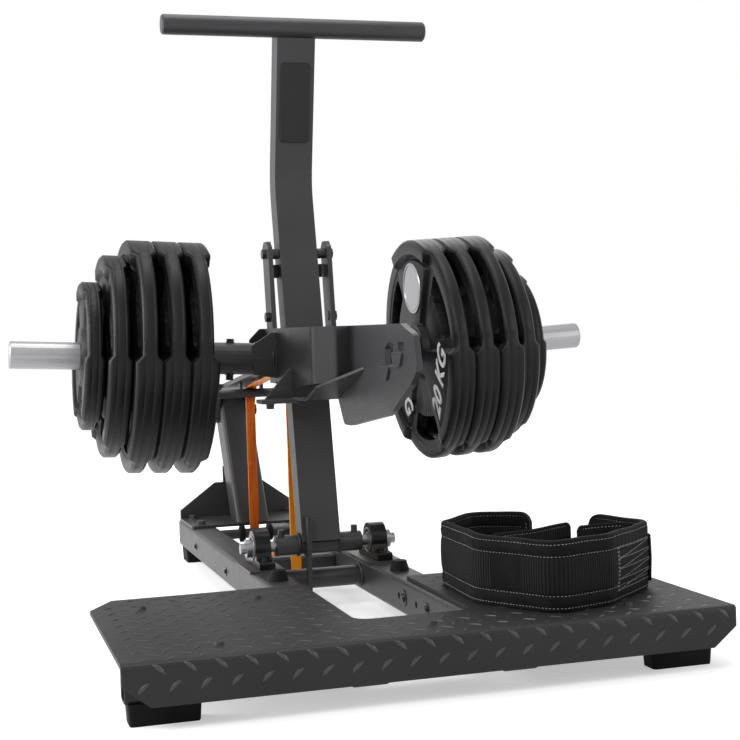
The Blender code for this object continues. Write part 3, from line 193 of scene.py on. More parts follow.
# Finishes: colour and roughness of each, and what its kind of surface asks for besides
finishes = {
    # the wear number of each coat: how much lighter its edges are painted, both for rubbed wear and as a
    # painted highlight on rounded edges
    "frameCoat": {"colour": (0.028, 0.028, 0.030), "roughness": 0.40, "specular": 0.34,
                  "grain": 1400, "depth": 0.00012, "wearAndGlint": 4.2, "edge": 0.0022},
    "deckCoat": {"colour": (0.016, 0.0163, 0.017), "roughness": 0.50, "specular": 0.20,
                 "grain": 900, "depth": 0.00022, "wearAndGlint": 2.6, "edge": 0.003},
    "discCoat": {"colour": (0.007, 0.007, 0.0073), "roughness": 0.40, "specular": 0.16,
                 "grain": 1100, "depth": 0.00010, "wearAndGlint": 11.0, "edge": 0.0024},
    "blackParts": {"colour": (0.005, 0.005, 0.0053), "roughness": 0.24, "specular": 0.26,
                   "grain": 1600, "depth": 0.00006, "wearAndGlint": 2.2, "edge": 0.0012},
    "footRubber": {"colour": (0.007, 0.007, 0.0073), "roughness": 0.62, "specular": 0.08,
                   "grain": 800, "depth": 0.00020, "wearAndGlint": 1.6, "edge": 0.0022},
    "blankPlastic": {"colour": (0.010, 0.010, 0.0105), "roughness": 0.45, "specular": 0.25,
                     "grain": 1200, "depth": 0.00010, "wearAndGlint": 1.6, "edge": 0.0012},
    "treadCoat": {"colour": (0.026, 0.0262, 0.028), "roughness": 0.36, "specular": 0.42,
                  "grain": 1400, "depth": 0.00008, "wearAndGlint": 3.2, "edge": 0.0010},
    "steel": {"colour": (0.34, 0.34, 0.35), "roughness": 0.36, "lines": 5200},
    "badgeSilver": {"colour": (0.42, 0.42, 0.43), "roughness": 0.30, "lines": 3000},
    # latex colour is the band in painted shade, as on the rear strands; the front colour is the same latex
    # with painted light, as on the front strand
    "latex": {"colour": (0.46, 0.055, 0.003), "front": (0.86, 0.30, 0.012), "dust": (0.80, 0.36, 0.10),
              "roughness": 0.36, "gloss": (0.30, 0.52),           # roughness where clean and where dusty
              "shadeRamp": (0.16, 0.50)},                           # y from which the painted shade begins, and up to which it grows
    "numeralPaint": {"colour": (0.80, 0.80, 0.80), "roughness": 0.50},
    "thread": {"colour": (0.30, 0.30, 0.30), "roughness": 0.70},
    "beltCloth": {"colour": (0.0055, 0.0055, 0.006), "roughness": 0.78, "ribPitch": 0.0045,
                  "gloss": (0.62, 0.86),                          # roughness over the fibres
                  "depths": (0.0016, 0.0004, 0.0002),             # of ribs, weave and fibres
                  "wander": 0.0006,
                  "weave": (0.0016, 0.0019),                      # pitch along the belt and up it
                  "ribs": (0.0275, 0.0290, 0.0815, 0.0830),       # heights: begin, full, thinning, end
                  "smooth": (0.398, 0.402, 0.455, 0.459)},        # the same along the belt, where none are
}
markScales = {"patches": 7.0, "scuffs": 38.0, "stains": 26.0, "mottle": 60.0, "dust": 50.0, "lint": 30.0,
              "fibre": 1500.0, "wander": 60.0}


class Finish(Wiring):
    # one surface under construction, read in the object's own coordinates

    def __init__(self, name, metallic=0.0, specular=0.5):
        self.material = bpy.data.materials.new(name)
        self.material.use_nodes = True
        super().__init__(self.material.node_tree)
        self.look = finishes[name]
        self.surface = self.tree.nodes["Principled BSDF"]
        self.feed(self.surface, {"Base Color": (*self.look["colour"], 1), "Roughness": self.look["roughness"],
                                 "Metallic": metallic, "Specular IOR Level": specular})
        self.places = self.add("ShaderNodeTexCoord").outputs["Object"]
        self.height = None

    def tint(self, share):
        return tuple(min(1.0, value * share) for value in self.look["colour"])

    def noise(self, scale, detail, stretch=None):
        places = self.places
        if stretch:
            places = self.add("ShaderNodeMapping", {"Vector": places, "Scale": stretch}).outputs[0]
        made = self.add("ShaderNodeTexNoise", {"Vector": places, "Scale": scale, "Detail": detail})
        return made.outputs["Fac"]

    def rings(self, scale, bend):
        made = self.add("ShaderNodeTexWave", {"Vector": self.places, "Scale": scale, "Distortion": bend},
                        wave_type="RINGS", rings_direction="Z")
        return made.outputs["Fac"]

    def spread(self, fac, low, high, fromLow=0.0, fromHigh=1.0):
        # fac from fromLow to fromHigh becomes low to high, and goes no further
        made = self.add("ShaderNodeMapRange", {"Value": fac, "From Min": fromLow, "From Max": fromHigh,
                                               "To Min": low, "To Max": high})
        return made.outputs["Result"]

    def reckon(self, first, second, operation="MULTIPLY"):
        return self.add("ShaderNodeMath", {0: first, 1: second}, operation=operation).outputs[0]

    def blend(self, fac, first, second):
        # sockets 6 and 7 of the mix node are its two colours, and its output 2 is the mixed one
        pair = [(*value, 1) if isinstance(value, tuple) else value for value in (first, second)]
        return self.add("ShaderNodeMix", {0: fac, 6: pair[0], 7: pair[1]}, data_type="RGBA").outputs[2]

    def edges(self, radius):
        # 1 on a sharp edge, 0 on a flat, from how far a rounded normal leans from the true one
        rounded = self.add("ShaderNodeBevel", {"Radius": radius}, samples=4)
        true = self.add("ShaderNodeNewGeometry")
        dot = self.add("ShaderNodeVectorMath", {0: rounded.outputs[0], 1: true.outputs["Normal"]},
                       operation="DOT_PRODUCT")
        return self.spread(dot.outputs["Value"], 1.0, 0.0, 0.80, 0.985)

    def relief(self, fac, depth, strength):
        bump = self.add("ShaderNodeBump", {"Height": fac, "Distance": depth, "Strength": strength})
        if self.height is not None:
            self.feed(bump, {"Normal": self.height})
        self.height = bump.outputs[0]

    def done(self, colour, roughness):
        self.feed(self.surface, {"Base Color": colour, "Roughness": roughness, "Normal": self.height})
        return self.material


def coat(name):
    # sprayed or moulded finish: fine grain, slow change of tone and gloss, and edges painted lighter, partly
    # as rubbed wear and partly as a painted highlight
    look = finishes[name]
    made = Finish(name, specular=look["specular"])
    grain = made.noise(look["grain"], 3.0)
    patches = made.noise(markScales["patches"], 4.0)
    scuffs = made.noise(markScales["scuffs"], 5.0)
    wornAndGlinting = made.reckon(made.edges(look["edge"]), made.spread(scuffs, 0.25, 1.0, 0.35, 0.65))
    tone = made.blend(made.spread(patches, 0, 1, 0.3, 0.7), made.tint(0.86), made.tint(1.14))
    # edges lightened: partly rubbed wear, partly a painted highlight where the edges catch the light
    tone = made.blend(made.reckon(wornAndGlinting, 0.55), tone, made.tint(look["wearAndGlint"]))
    gloss = made.reckon(made.spread(scuffs, -0.05, 0.06), look["roughness"], "ADD")
    made.relief(grain, look["depth"], 0.55)
    return made.done(tone, gloss)


def brushed(name, turned=False):
    # bright metal with fine brushing lines, or turned in rings, and a few dull stains
    look = finishes[name]
    made = Finish(name, metallic=1.0)
    lines = made.noise(1.0, 4.0, (40, look["lines"], look["lines"]))
    stains = made.noise(markScales["stains"], 5.0)
    tone = made.blend(made.spread(lines, 0, 1, 0.35, 0.65), made.tint(0.84), look["colour"])
    tone = made.blend(made.spread(stains, 0, 0.35, 0.5, 0.8), tone, made.tint(0.70))
    gloss = made.spread(lines, look["roughness"] - 0.06, look["roughness"] + 0.10)
    made.relief(made.rings(90.0, 2.0) if turned else lines, 0.00004, 0.35)
    return made.done(tone, gloss)


def plain(name):
    # paint and thread: slight mottling and a gentle change of gloss
    look = finishes[name]
    made = Finish(name)
    patches = made.noise(markScales["mottle"], 4.0)
    tone = made.blend(made.spread(patches, 0, 1, 0.35, 0.7), made.tint(0.82), made.tint(1.4))
    made.relief(made.noise(markScales["fibre"], 2.0), 0.00005, 0.4)
    return made.done(tone, made.spread(patches, look["roughness"] - 0.06, look["roughness"] + 0.10))


def rolledLatex():
    # painted light: lit colour at the front of the machine, turning to a painted shade towards the rear;
    # streaked along its length, with pale dust
    look = finishes["latex"]
    made = Finish("latex", specular=0.25)
    made.feed(made.surface, {"Subsurface Weight": 0.25, "Subsurface Radius": (0.006, 0.002, 0.0006),
                             "Subsurface Scale": 1.0})
    streaks = made.noise(1.0, 4.0, (300, 300, 9))
    dust = made.noise(markScales["dust"], 5.0)
    parts = made.add("ShaderNodeSeparateXYZ", {0: made.places})
    # painted light and shade: the lit front colour turns to the shaded colour along y, and the streaks carry
    # the lit colour
    back = made.spread(parts.outputs["Y"], 0, 1, *look["shadeRamp"])
    litToShaded = made.blend(back, look["front"], look["colour"])
    tone = made.blend(made.spread(streaks, 0, 0.5, 0.3, 0.7), litToShaded, look["front"])
    tone = made.blend(made.spread(dust, 0, 0.22, 0.5, 0.8), tone, look["dust"])
    made.relief(streaks, 0.0001, 0.4)
    return made.done(tone, made.spread(dust, *look["gloss"]))


def wovenCloth():
    # one cloth for the whole belt, read along its run: ribs on the padded middle, close weave elsewhere
    look = finishes["beltCloth"]
    made = Finish("beltCloth", specular=0.06)
    made.feed(made.surface, {"Sheen Weight": 0.03, "Sheen Roughness": 0.5})
    chart = made.add("ShaderNodeUVMap", uv_map="clothRun")
    parts = made.add("ShaderNodeSeparateXYZ", {0: chart.outputs[0]})
    along, height = parts.outputs["X"], parts.outputs["Y"]

    def wave(value, pitch):
        return made.spread(made.reckon(made.reckon(value, tau / pitch), 0, "SINE"), 0, 1, -1, 1)

    def within(value, begin, full, thinning, end):
        return made.reckon(made.spread(value, 0, 1, begin, full), made.spread(value, 1, 0, thinning, end))

    wander = made.spread(made.noise(markScales["wander"], 3.0), -look["wander"], look["wander"])
    wandering = made.reckon(along, wander, "ADD")
    ribbed = made.reckon(1.0, within(along, *look["smooth"]), "SUBTRACT")
    middle = made.reckon(within(height, *look["ribs"]), ribbed)
    ribs = made.reckon(wave(wandering, look["ribPitch"]), middle)
    weave = made.reckon(wave(wandering, look["weave"][0]), wave(height, look["weave"][1]))
    fibre = made.noise(markScales["fibre"], 4.0)
    lint = made.noise(markScales["lint"], 5.0)
    tone = made.blend(ribs, made.tint(0.9), made.tint(2.3))
    tone = made.blend(made.reckon(weave, 0.35), tone, made.tint(2.0))
    tone = made.blend(made.spread(lint, 0, 0.45, 0.5, 0.8), tone, made.tint(3.0))
    for pattern, depth, strength in zip((ribs, weave, fibre), look["depths"], (0.9, 0.6, 0.5)):
        made.relief(pattern, depth, strength)
    return made.done(tone, made.spread(fibre, *look["gloss"]))


setCamera()
setLights()
setWorld()
setFloor()
print("camera, lamps, world and floor are set")

frameCoat = coat("frameCoat")
discCoat = coat("discCoat")
blackParts = coat("blackParts")
treadCoat = coat("treadCoat")
steel = brushed("steel")
badgeSilver = brushed("badgeSilver", turned=True)
numeralPaint = plain("numeralPaint")
thread = plain("thread")
latex = rolledLatex()
beltCloth = wovenCloth()
slotFinish = {
    "frame_paint": frameCoat,
    "deck_paint": coat("deckCoat"),
    "bright_steel": steel,
    "black_steel": blackParts,
    "black_rubber": coat("footRubber"),
    "black_plastic": coat("blankPlastic"),
    "disc_rubber": discCoat,
    "orange_rubber": latex,
    "belt_fabric": beltCloth,
}
print("finishes are mixed:", len(bpy.data.materials))


# Carried-over nodes: their finish, and edges rounded the way the real sheet, tube and castings are
edgeRounds = {
    "usual": 0.0012,
    "rail_left": 0.0010, "rail_right": 0.0010,
    "head_wall_left": 0.0014, "head_wall_right": 0.0014,
    "deck_foot_left": 0.0025, "deck_foot_right": 0.0025,
    "handle_bar": 0.0016,
}


def roundEdges(made, width, angle=30):
    weld = made.modifiers.new("closeSeams", "WELD")
    weld.merge_threshold = 0.00002
    bevel = made.modifiers.new("roundEdges", "BEVEL")
    bevel.width = width
    bevel.segments = 2
    bevel.limit_method = "ANGLE"
    bevel.angle_limit = math.radians(angle)
    bevel.use_clamp_overlap = True
    bevel.harden_normals = True


def dressNodes():
    slots = {entry["node"]: entry["material_slot"] for entry in frame["record"]["subparts"]}
    for name, made in nodes.items():
        made.data.materials.clear()
        made.data.materials.append(slotFinish[slots[name]])
        roundEdges(made, edgeRounds.get(name, edgeRounds["usual"]))


dressNodes()
print("carried-over nodes are finished:", len(nodes))


# What every new piece is made with
def riding(made, body, material, slotName, *replaced):
    made.data.materials.clear()
    made.data.materials.append(material)
    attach(made, body)
    if replaced:
        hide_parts(*replaced)


def meshOf(name, form):
    mesh = bpy.data.meshes.new(name)
    bmesh.ops.recalc_face_normals(form, faces=form.faces)
    form.to_mesh(mesh)
    form.free()
    return mesh


def smoothed(mesh, degrees):
    # smooth, apart from edges sharper than this
    mesh.shade_smooth()
    mesh.set_sharp_from_angle(angle=math.radians(degrees))
    return mesh


def pieceOf(name, form, degrees, matrix=None):
    return objectOf(name, smoothed(meshOf(name, form), degrees), matrix)


def meshFrom(made):
    # the object's mesh as its modifiers or its letters make it
    bpy.context.view_layer.update()
    graph = bpy.context.evaluated_depsgraph_get()
    return bpy.data.meshes.new_from_object(made.evaluated_get(graph))


def settled(made):
    mesh = meshFrom(made)
    made.modifiers.clear()
    made.data = mesh


def skin(form, rings, closed=False, caps=False):
    # quads between each ring of points and the next, and a face over both ends where they are capped
    if caps:
        form.faces.new(rings[0][::-1])
        form.faces.new(rings[-1])
    for ring, after in zip(rings, rings[1:] + rings[:1] if closed else rings[1:]):
        for step in range(len(ring)):
            ahead = (step + 1) % len(ring)
            form.faces.new((ring[step], ring[ahead], after[ahead], after[step]))


def fan(form, tip, ring):
    for step in range(len(ring)):
        form.faces.new((tip, ring[step], ring[(step + 1) % len(ring)]))


def circleOf(centre, axis, radius, steps):
    side = axis.orthogonal().normalized()
    up = axis.cross(side)
    return [centre + (side * math.cos(tau * step / steps) + up * math.sin(tau * step / steps)) * radius
            for step in range(steps)]


def walked(ring, stride):
    # points along a closed ring, about a stride apart
    made = []
    for before, after in zip(ring, ring[1:] + ring[:1]):
        pieces = max(1, int((after - before).length / stride))
        made += [before.lerp(after, step / pieces) for step in range(pieces)]
    return made


def softened(ring, reach):
    # a closed ring of points with its sharp corners cut to short curves
    steps, least = 4, 25
    made = []
    for index, point in enumerate(ring):
        before, after = ring[index - 1] - point, ring[(index + 1) % len(ring)] - point
        if math.degrees(math.pi - before.angle(after)) < least:
            made.append(point)
            continue
        start = point + before.normalized() * min(reach, before.length * 0.9)
        end = point + after.normalized() * min(reach, after.length * 0.9)
        for step in range(steps + 1):
            share = step / steps
            made.append(start.lerp(point, share).lerp(point.lerp(end, share), share))
    return made


def roundCorner(corner, before, after, radius, steps):
    # the arc that rounds a corner of a flat path, and takes less than half of each straight beside it
    before, after = before - corner, after - corner
    half = before.angle(after) / 2
    reach = min(radius / math.tan(half), 0.48 * before.length, 0.48 * after.length)
    radius = reach * math.tan(half)
    middle = corner + (before.normalized() + after.normalized()).normalized() * (radius / math.sin(half))
    start, end = corner + before.normalized() * reach, corner + after.normalized() * reach
    sweep = (start - middle).angle_signed(end - middle)
    return [middle + Matrix.Rotation(-sweep * step / steps, 2) @ (start - middle)
            for step in range(steps + 1)]


def filletPath(points, radii, steps, closed=False):
    points = [Vector(point) for point in points]
    made = []
    for index, point in enumerate(points):
        if not closed and index in (0, len(points) - 1):
            made.append(point)
        else:
            following = points[(index + 1) % len(points)]
            made += roundCorner(point, points[index - 1], following, radii[index], steps)
    return made


class Run:
    # a path, read by the distance along it

    def __init__(self, points):
        self.points = points
        self.marks = [0.0]
        for before, after in zip(points, points[1:]):
            self.marks.append(self.marks[-1] + (after - before).length)
        self.length = self.marks[-1]

    def seek(self, along):
        # the stretch that holds this distance, and how much of it is passed
        index = 0
        while index < len(self.points) - 2 and self.marks[index + 1] < along:
            index += 1
        span = self.marks[index + 1] - self.marks[index]
        return index, (along - self.marks[index]) / max(1e-9, span)

    def at(self, along):
        # place on a flat path, and the way out to its right, which turns softly from stretch to stretch
        along = min(max(along, 0.0), self.length)
        index, share = self.seek(along)
        before, after = self.points[index], self.points[index + 1]
        way = (after - before).normalized()
        passed, left = along - self.marks[index], self.marks[index + 1] - along
        soft = 0.004
        if 0 < index and passed < soft:
            earlier = (before - self.points[index - 1]).normalized()
            way = earlier.lerp(way, 0.5 + 0.5 * passed / soft).normalized()
        elif index < len(self.points) - 2 and left < soft:
            later = (self.points[index + 2] - after).normalized()
            way = later.lerp(way, 0.5 + 0.5 * left / soft).normalized()
        return before.lerp(after, share), Vector((way.y, -way.x))


# Weight discs, lofted round their axis: lands and grip sectors, three windows, three spokes
discs = {
    "sizes": {
        "large": {"radius": 0.215, "thickness": 0.0482, "recess": 0.011, "rim": 0.028},
        "medium": {"radius": 0.186, "thickness": 0.042, "recess": 0.007, "rim": 0.026},
        "small": {"radius": 0.136, "thickness": 0.036, "recess": 0.005, "rim": 0.021},
    },
    "order": ("large", "large", "large", "medium", "small"),
    "bore": 0.0256,
    "hub": 0.052,
    "gripHalf": 29.0,                # degrees, as are the step beside it and the windows' turns
    "gripStep": 3.0,
    "hubShare": 0.92,                # heights of the hub, spokes, web and rim line in half thicknesses
    "spokeShare": 0.74,
    "webShare": 0.44,
    "rimLineShare": 0.34,
    "rimLine": 0.0007,
    "rimChamfer": 0.0045,
    "edgeRound": 0.0011,
    "windowInner": 0.615,            # in radii
    "windowOuter": 0.835,
    "windowTurns": (21.0, 23.0),
    "windowCorner": 0.014,
    "cutterHalf": 0.06,
    "firstAt": 0.213,
    "between": 0.0003,
    "sleeve": (0, 0.020, 0.46875),
    "tilt": 3.0,
}


def discSection(size, turn):
    # from the bore out to the rim on one face, then back on the other
    third = 120.0
    away = abs((turn + third / 2) % third - third / 2)
    grip = min(1.0, max(0.0, (discs["gripHalf"] + discs["gripStep"] - away) / discs["gripStep"]))
    half = size["thickness"] / 2
    rim = half - size["recess"] * grip
    hub = half * discs["hubShare"]
    face = half * (discs["spokeShare"] + (discs["webShare"] - discs["spokeShare"]) * grip)
    slot = half * discs["webShare"]
    radius, inner = size["radius"], size["radius"] - size["rim"]
    cut = min(discs["rimChamfer"], rim * 0.3)
    line, lineAt = discs["rimLine"], half * discs["rimLineShare"]
    bore, edge = discs["bore"], discs["hub"]
    upper = [(bore, hub - 0.0015), (bore + 0.0015, hub), (edge - 0.012, hub), (edge - 0.010, hub - 0.0012),
             (edge - 0.007, hub - 0.0012), (edge - 0.005, hub), (edge, hub), (edge + 0.007, face),
             (inner - 0.012, face), (inner - 0.009, slot), (inner - 0.004, slot), (inner, rim - 0.0015),
             (inner + 0.0015, rim), (radius - cut, rim), (radius, rim - cut), (radius, lineAt),
             (radius - line, lineAt - line * 0.6), (radius, lineAt - line * 1.6)]
    return upper + [(reach, -height) for reach, height in reversed(upper)]


def discTurns():
    grip, step, count = discs["gripHalf"], discs["gripStep"], 20
    turns = []
    for number in range(3):
        middle = number * 120.0
        turns += [middle - grip + index * 2 * grip / count for index in range(count + 1)]
        land = 120.0 - 2 * (grip + step)
        turns += [middle + grip + step + index * land / count for index in range(count + 1)]
    return turns


def windowCutter(size):
    inner, outer = size["radius"] * discs["windowInner"], size["radius"] * discs["windowOuter"]
    near, far = (math.radians(value) for value in discs["windowTurns"])
    ring = [(inner, near - 2 * near * step / 8) for step in range(9)]
    ring += [(outer, -far + 2 * far * step / 12) for step in range(13)]
    ring = [Vector((reach * math.cos(turn), reach * math.sin(turn))) for reach, turn in ring]
    ring = softened(ring, discs["windowCorner"] * size["radius"] / discs["sizes"]["large"]["radius"])
    form = bmesh.new()
    for number in range(3):
        turn = Matrix.Rotation(math.radians(120 * number), 4, "Z")
        levels = (-discs["cutterHalf"], discs["cutterHalf"])
        skin(form, [[form.verts.new(turn @ Vector((point.x, point.y, level))) for point in ring]
                    for level in levels], caps=True)
    return objectOf("windowCutter", meshOf("windowCutter", form))


def discMesh(kind):
    size = discs["sizes"][kind]
    form = bmesh.new()
    rings = []
    for turn in discTurns():
        angle = math.radians(turn)
        rings.append([form.verts.new((reach * math.cos(angle), reach * math.sin(angle), height))
                      for reach, height in discSection(size, turn)])
    skin(form, rings, closed=True)
    made = objectOf(f"{kind}Disc", meshOf(f"{kind}Disc", form))
    cutter = windowCutter(size)
    cut = made.modifiers.new("windows", "BOOLEAN")
    cut.object = cutter
    cut.solver = "EXACT"
    settled(made)
    roundEdges(made, discs["edgeRound"], 34)
    settled(made)
    mesh = made.data
    for scrap in (made, cutter):
        bpy.data.objects.remove(scrap)
    return smoothed(mesh, 40)


def sleeveMatrix(side, along):
    # from a disc's own axis to its place on the sleeve of this side
    lean = math.radians(90 - discs["tilt"])
    turn = Matrix.Rotation(math.pi if side < 0 else 0, 4, "Z") @ Matrix.Rotation(lean, 4, "Y")
    return Matrix.Translation(drawnAt + Vector(discs["sleeve"])) @ turn @ Matrix.Translation((0, 0, along))


def makeDiscs():
    meshes = {kind: discMesh(kind) for kind in discs["sizes"]}
    for side, word in sides:
        along = discs["firstAt"]
        for number, kind in enumerate(discs["order"], 1):
            thickness = discs["sizes"][kind]["thickness"]
            place = sleeveMatrix(side, along + thickness / 2)
            made = objectOf(f"weightDisc_{word}_{number}", meshes[kind], place)
            riding(made, f"stack_{word}", discCoat, "disc_rubber", f"disc_{word}_{number}")
            along += thickness + discs["between"]


# Marks on the face of the innermost discs: a bare silver badge and the weight in painted numerals
discMarks = {
    "badgeAt": 0.121,
    "badgeRadius": 0.050,
    "badgeSides": 64,
    "badgeSteps": ((0.86, -0.0016), (0.875, -0.0008), (0.90, -0.0008), (0.92, -0.0022), (0.985, -0.0022),
                   (1.0, -0.001), (1.0, 0.002)),    # in radii, and from the disc's face
    "words": "20 KG",
    "wordsAt": 0.129,
    "wordsTurns": (-63.0, 57.0),
    "wordsLong": 0.146,
    "wordsTall": 0.046,
    "wordsThick": 0.0012,
    "bold": 0.022,
    "lean": 0.25,
    "proud": 0.0006,
}


def wordMesh():
    data = bpy.data.curves.new("discWords", "FONT")
    data.body = discMarks["words"]
    data.shear = discMarks["lean"]
    data.offset = discMarks["bold"]
    data.extrude = discMarks["wordsThick"] * 5
    data.align_x, data.align_y = "CENTER", "CENTER"
    data.resolution_u = 4
    made = objectOf("discWords", data)
    mesh = meshFrom(made)
    bpy.data.objects.remove(made)
    xs = [vert.co.x for vert in mesh.vertices]
    ys = [vert.co.y for vert in mesh.vertices]
    wide, tall = max(xs) - min(xs), max(ys) - min(ys)
    middle = Vector(((max(xs) + min(xs)) / 2, (max(ys) + min(ys)) / 2, 0))
    size = Vector((discMarks["wordsLong"] / wide, discMarks["wordsTall"] / tall, 0.1))
    for vert in mesh.vertices:
        vert.co = (vert.co - middle) * size
    return mesh


def makeBadge(word, place, level):
    # shallow disc with a raised thin ring, on the face that looks towards the machine
    form = bmesh.new()
    count = discMarks["badgeSides"]
    rings = []
    for share, rise in discMarks["badgeSteps"]:
        reach = discMarks["badgeRadius"] * share
        rings.append([form.verts.new((reach * math.cos(tau * step / count) - discMarks["badgeAt"],
                                      reach * math.sin(tau * step / count), level + rise))
                      for step in range(count)])
    tip = form.verts.new((-discMarks["badgeAt"], 0, level + discMarks["badgeSteps"][0][1]))
    fan(form, tip, rings[0])
    skin(form, rings)
    form.faces.new(rings[-1])
    riding(pieceOf(f"discBadge_{word}", form, 25, place), f"stack_{word}", badgeSilver, "bright_steel")


def makeDiscMarks():
    size = discs["sizes"]["large"]
    level = -size["thickness"] / 2 * discs["spokeShare"]
    words = wordMesh()
    for side, word in sides:
        place = sleeveMatrix(side, discs["firstAt"] + size["thickness"] / 2)
        makeBadge(word, place, level)
        form = bmesh.new()
        for turn in discMarks["wordsTurns"]:
            angle = math.radians(turn)
            outward = Vector((math.cos(angle), math.sin(angle), 0))
            along = Vector((math.sin(angle), -math.cos(angle), 0))
            spin = Matrix((along, -outward, along.cross(-outward))).transposed().to_4x4()
            centre = outward * discMarks["wordsAt"] + Vector((0, 0, level - discMarks["proud"]))
            copy = words.copy()
            copy.transform(Matrix.Translation(centre) @ spin)
            form.from_mesh(copy)
            bpy.data.meshes.remove(copy)
        mesh = bpy.data.meshes.new(f"discNumerals_{word}")
        form.to_mesh(mesh)
        form.free()
        riding(objectOf(f"discNumerals_{word}", mesh, place), f"stack_{word}", numeralPaint, "disc_rubber")


makeDiscs()
makeDiscMarks()
print("weight discs, badges and numerals are on the sleeves")


# Hip belt that stands on the platform: padded wall, stitched strips, sewn patch and loose strap ends
belt = {
    "plan": ((0.285, -0.362), (0.213, -0.296), (0.131, -0.366), (0.124, -0.540), (0.200, -0.664),
             (0.292, -0.637), (0.414, -0.531), (0.364, -0.428)),
    "rounds": (0, 0.028, 0.028, 0.06, 0.028, 0.04, 0.028, 0),
    "foot": 0.0871,
    "tall": 0.110,
    "thick": 0.012,
    "endRound": 0.020,
    "meshStep": 0.003,
    "endGap": 0.0002,     # cloth stops this far short of both ends of its run
    "topWaves": ((0.0011, 23.0, 0.7), (0.0006, 61.0, 0.0)),    # height, turns and start of each
    "stitchLines": (0.0065, 0.0250, 0.0850, 0.1035),
    "rowInset": 0.010,
    "rowStep": 0.002,
    "endRow": (0.007, 0.012, 0.098),    # from the wall's end, and the heights it runs between
    "stitch": 0.0038,
    "stitchGap": 0.0022,
    "threadRadius": 0.00048,
    "pucker": 0.0005,
    "puckerReach": 0.007,
    "puckerStep": 2.6,    # stitches from one bulge to the next
    "patch": (0.024, 0.158, 0.019, 0.084),   # along the right side from its front corner, and heights
    "patchRows": 5,
    "patchThick": 0.0006,
    "patchHem": 0.004,
    "patchRise": 0.02,    # of its rows, in its heights
    "strapEnd": (0.146, 0.190, 0.011, 0.087),
    "strapThick": 0.0042,
    "strapGap": 0.0008,
    "strapRound": 0.006,
    "innerFlaps": (((0.150, -0.525), (0.225, -0.497), (0.275, -0.474), (0.316, -0.458)),
                   ((0.396, -0.505), (0.352, -0.489), (0.312, -0.497))),
    "innerTall": (0.050, 0.104),
    "flapBend": 0.05,
    "flapRound": 0.010,
    "flapThick": 0.004,
    "flapWave": 0.0010,
    "flapHem": 0.0060,
    "flapInset": 0.008,
}
beltRun = Run(filletPath(belt["plan"], belt["rounds"], 8))
beltFaces = (    # height in the wall, how far its outer and its inner face stand out of their flat places
    (0.000, -0.0035, -0.0035), (0.0012, -0.0014, -0.0014), (0.003, -0.0004, -0.0005), (0.0052, 0.0, 0.0),
    (0.0065, -0.0008, -0.0006), (0.0078, 0.0002, 0.0), (0.0155, 0.0009, 0.0004), (0.0235, 0.0002, 0.0),
    (0.0250, -0.0010, -0.0008), (0.0265, 0.0002, 0.0), (0.034, 0.0013, 0.0008), (0.045, 0.0019, 0.0012),
    (0.055, 0.0021, 0.0014), (0.065, 0.0019, 0.0012), (0.076, 0.0013, 0.0008), (0.0835, 0.0002, 0.0),
    (0.0850, -0.0010, -0.0008), (0.0865, 0.0002, 0.0), (0.0945, 0.0009, 0.0004), (0.1022, 0.0002, 0.0),
    (0.1035, -0.0008, -0.0006), (0.1048, 0.0, 0.0), (0.107, -0.0004, -0.0005),
    (0.1088, -0.0014, -0.0014), (0.110, -0.0035, -0.0035),
)


def beltPucker(along, height):
    # the cloth draws in a little at every stitch, and bulges between
    near = min(abs(height - line) for line in belt["stitchLines"])
    pull = max(0.0, 1.0 - near / belt["puckerReach"])
    pitch = (belt["stitch"] + belt["stitchGap"]) * belt["puckerStep"]
    return belt["pucker"] * (pull * math.sin(tau * along / pitch) + math.sin(along * 47 + height * 30))


def beltPoint(along, height, outer=True, more=0.0):
    # place on the wall's outer or inner face, and the way out of the wall
    point, out = beltRun.at(along)
    fold = 0.0
    for low, high in zip(beltFaces, beltFaces[1:]):
        if low[0] <= height <= high[0]:
            share = (height - low[0]) / (high[0] - low[0])
            face = 1 if outer else 2
            fold = low[face] + (high[face] - low[face]) * share
    stand = belt["thick"] + fold + beltPucker(along, height) + more if outer else -fold - more
    flat = point + out * stand
    lift = sum(rise * math.sin(along * turns + start) for rise, turns, start in belt["topWaves"])
    top = belt["foot"] + height + lift * (height / belt["tall"]) ** 2
    return drawnAt + Vector((flat.x, flat.y, top)), out


def beltRow(start, end, count, outer=True, more=0.0):
    # spots on the wall between two (along, height) places
    made = []
    for step in range(count + 1):
        along = start[0] + (end[0] - start[0]) * step / count
        height = start[1] + (end[1] - start[1]) * step / count
        made.append(beltPoint(along, height, outer, more))
    return made


def ovalEnd(along, height, length, radius, tall):
    # height drawn in near an end, so the corners of the wall are round
    away = min(along, length - along)
    if away >= radius:
        return height
    lost = radius - math.sqrt(max(0.0, radius ** 2 - (radius - away) ** 2))
    return lost + height * (tall - 2 * lost) / tall


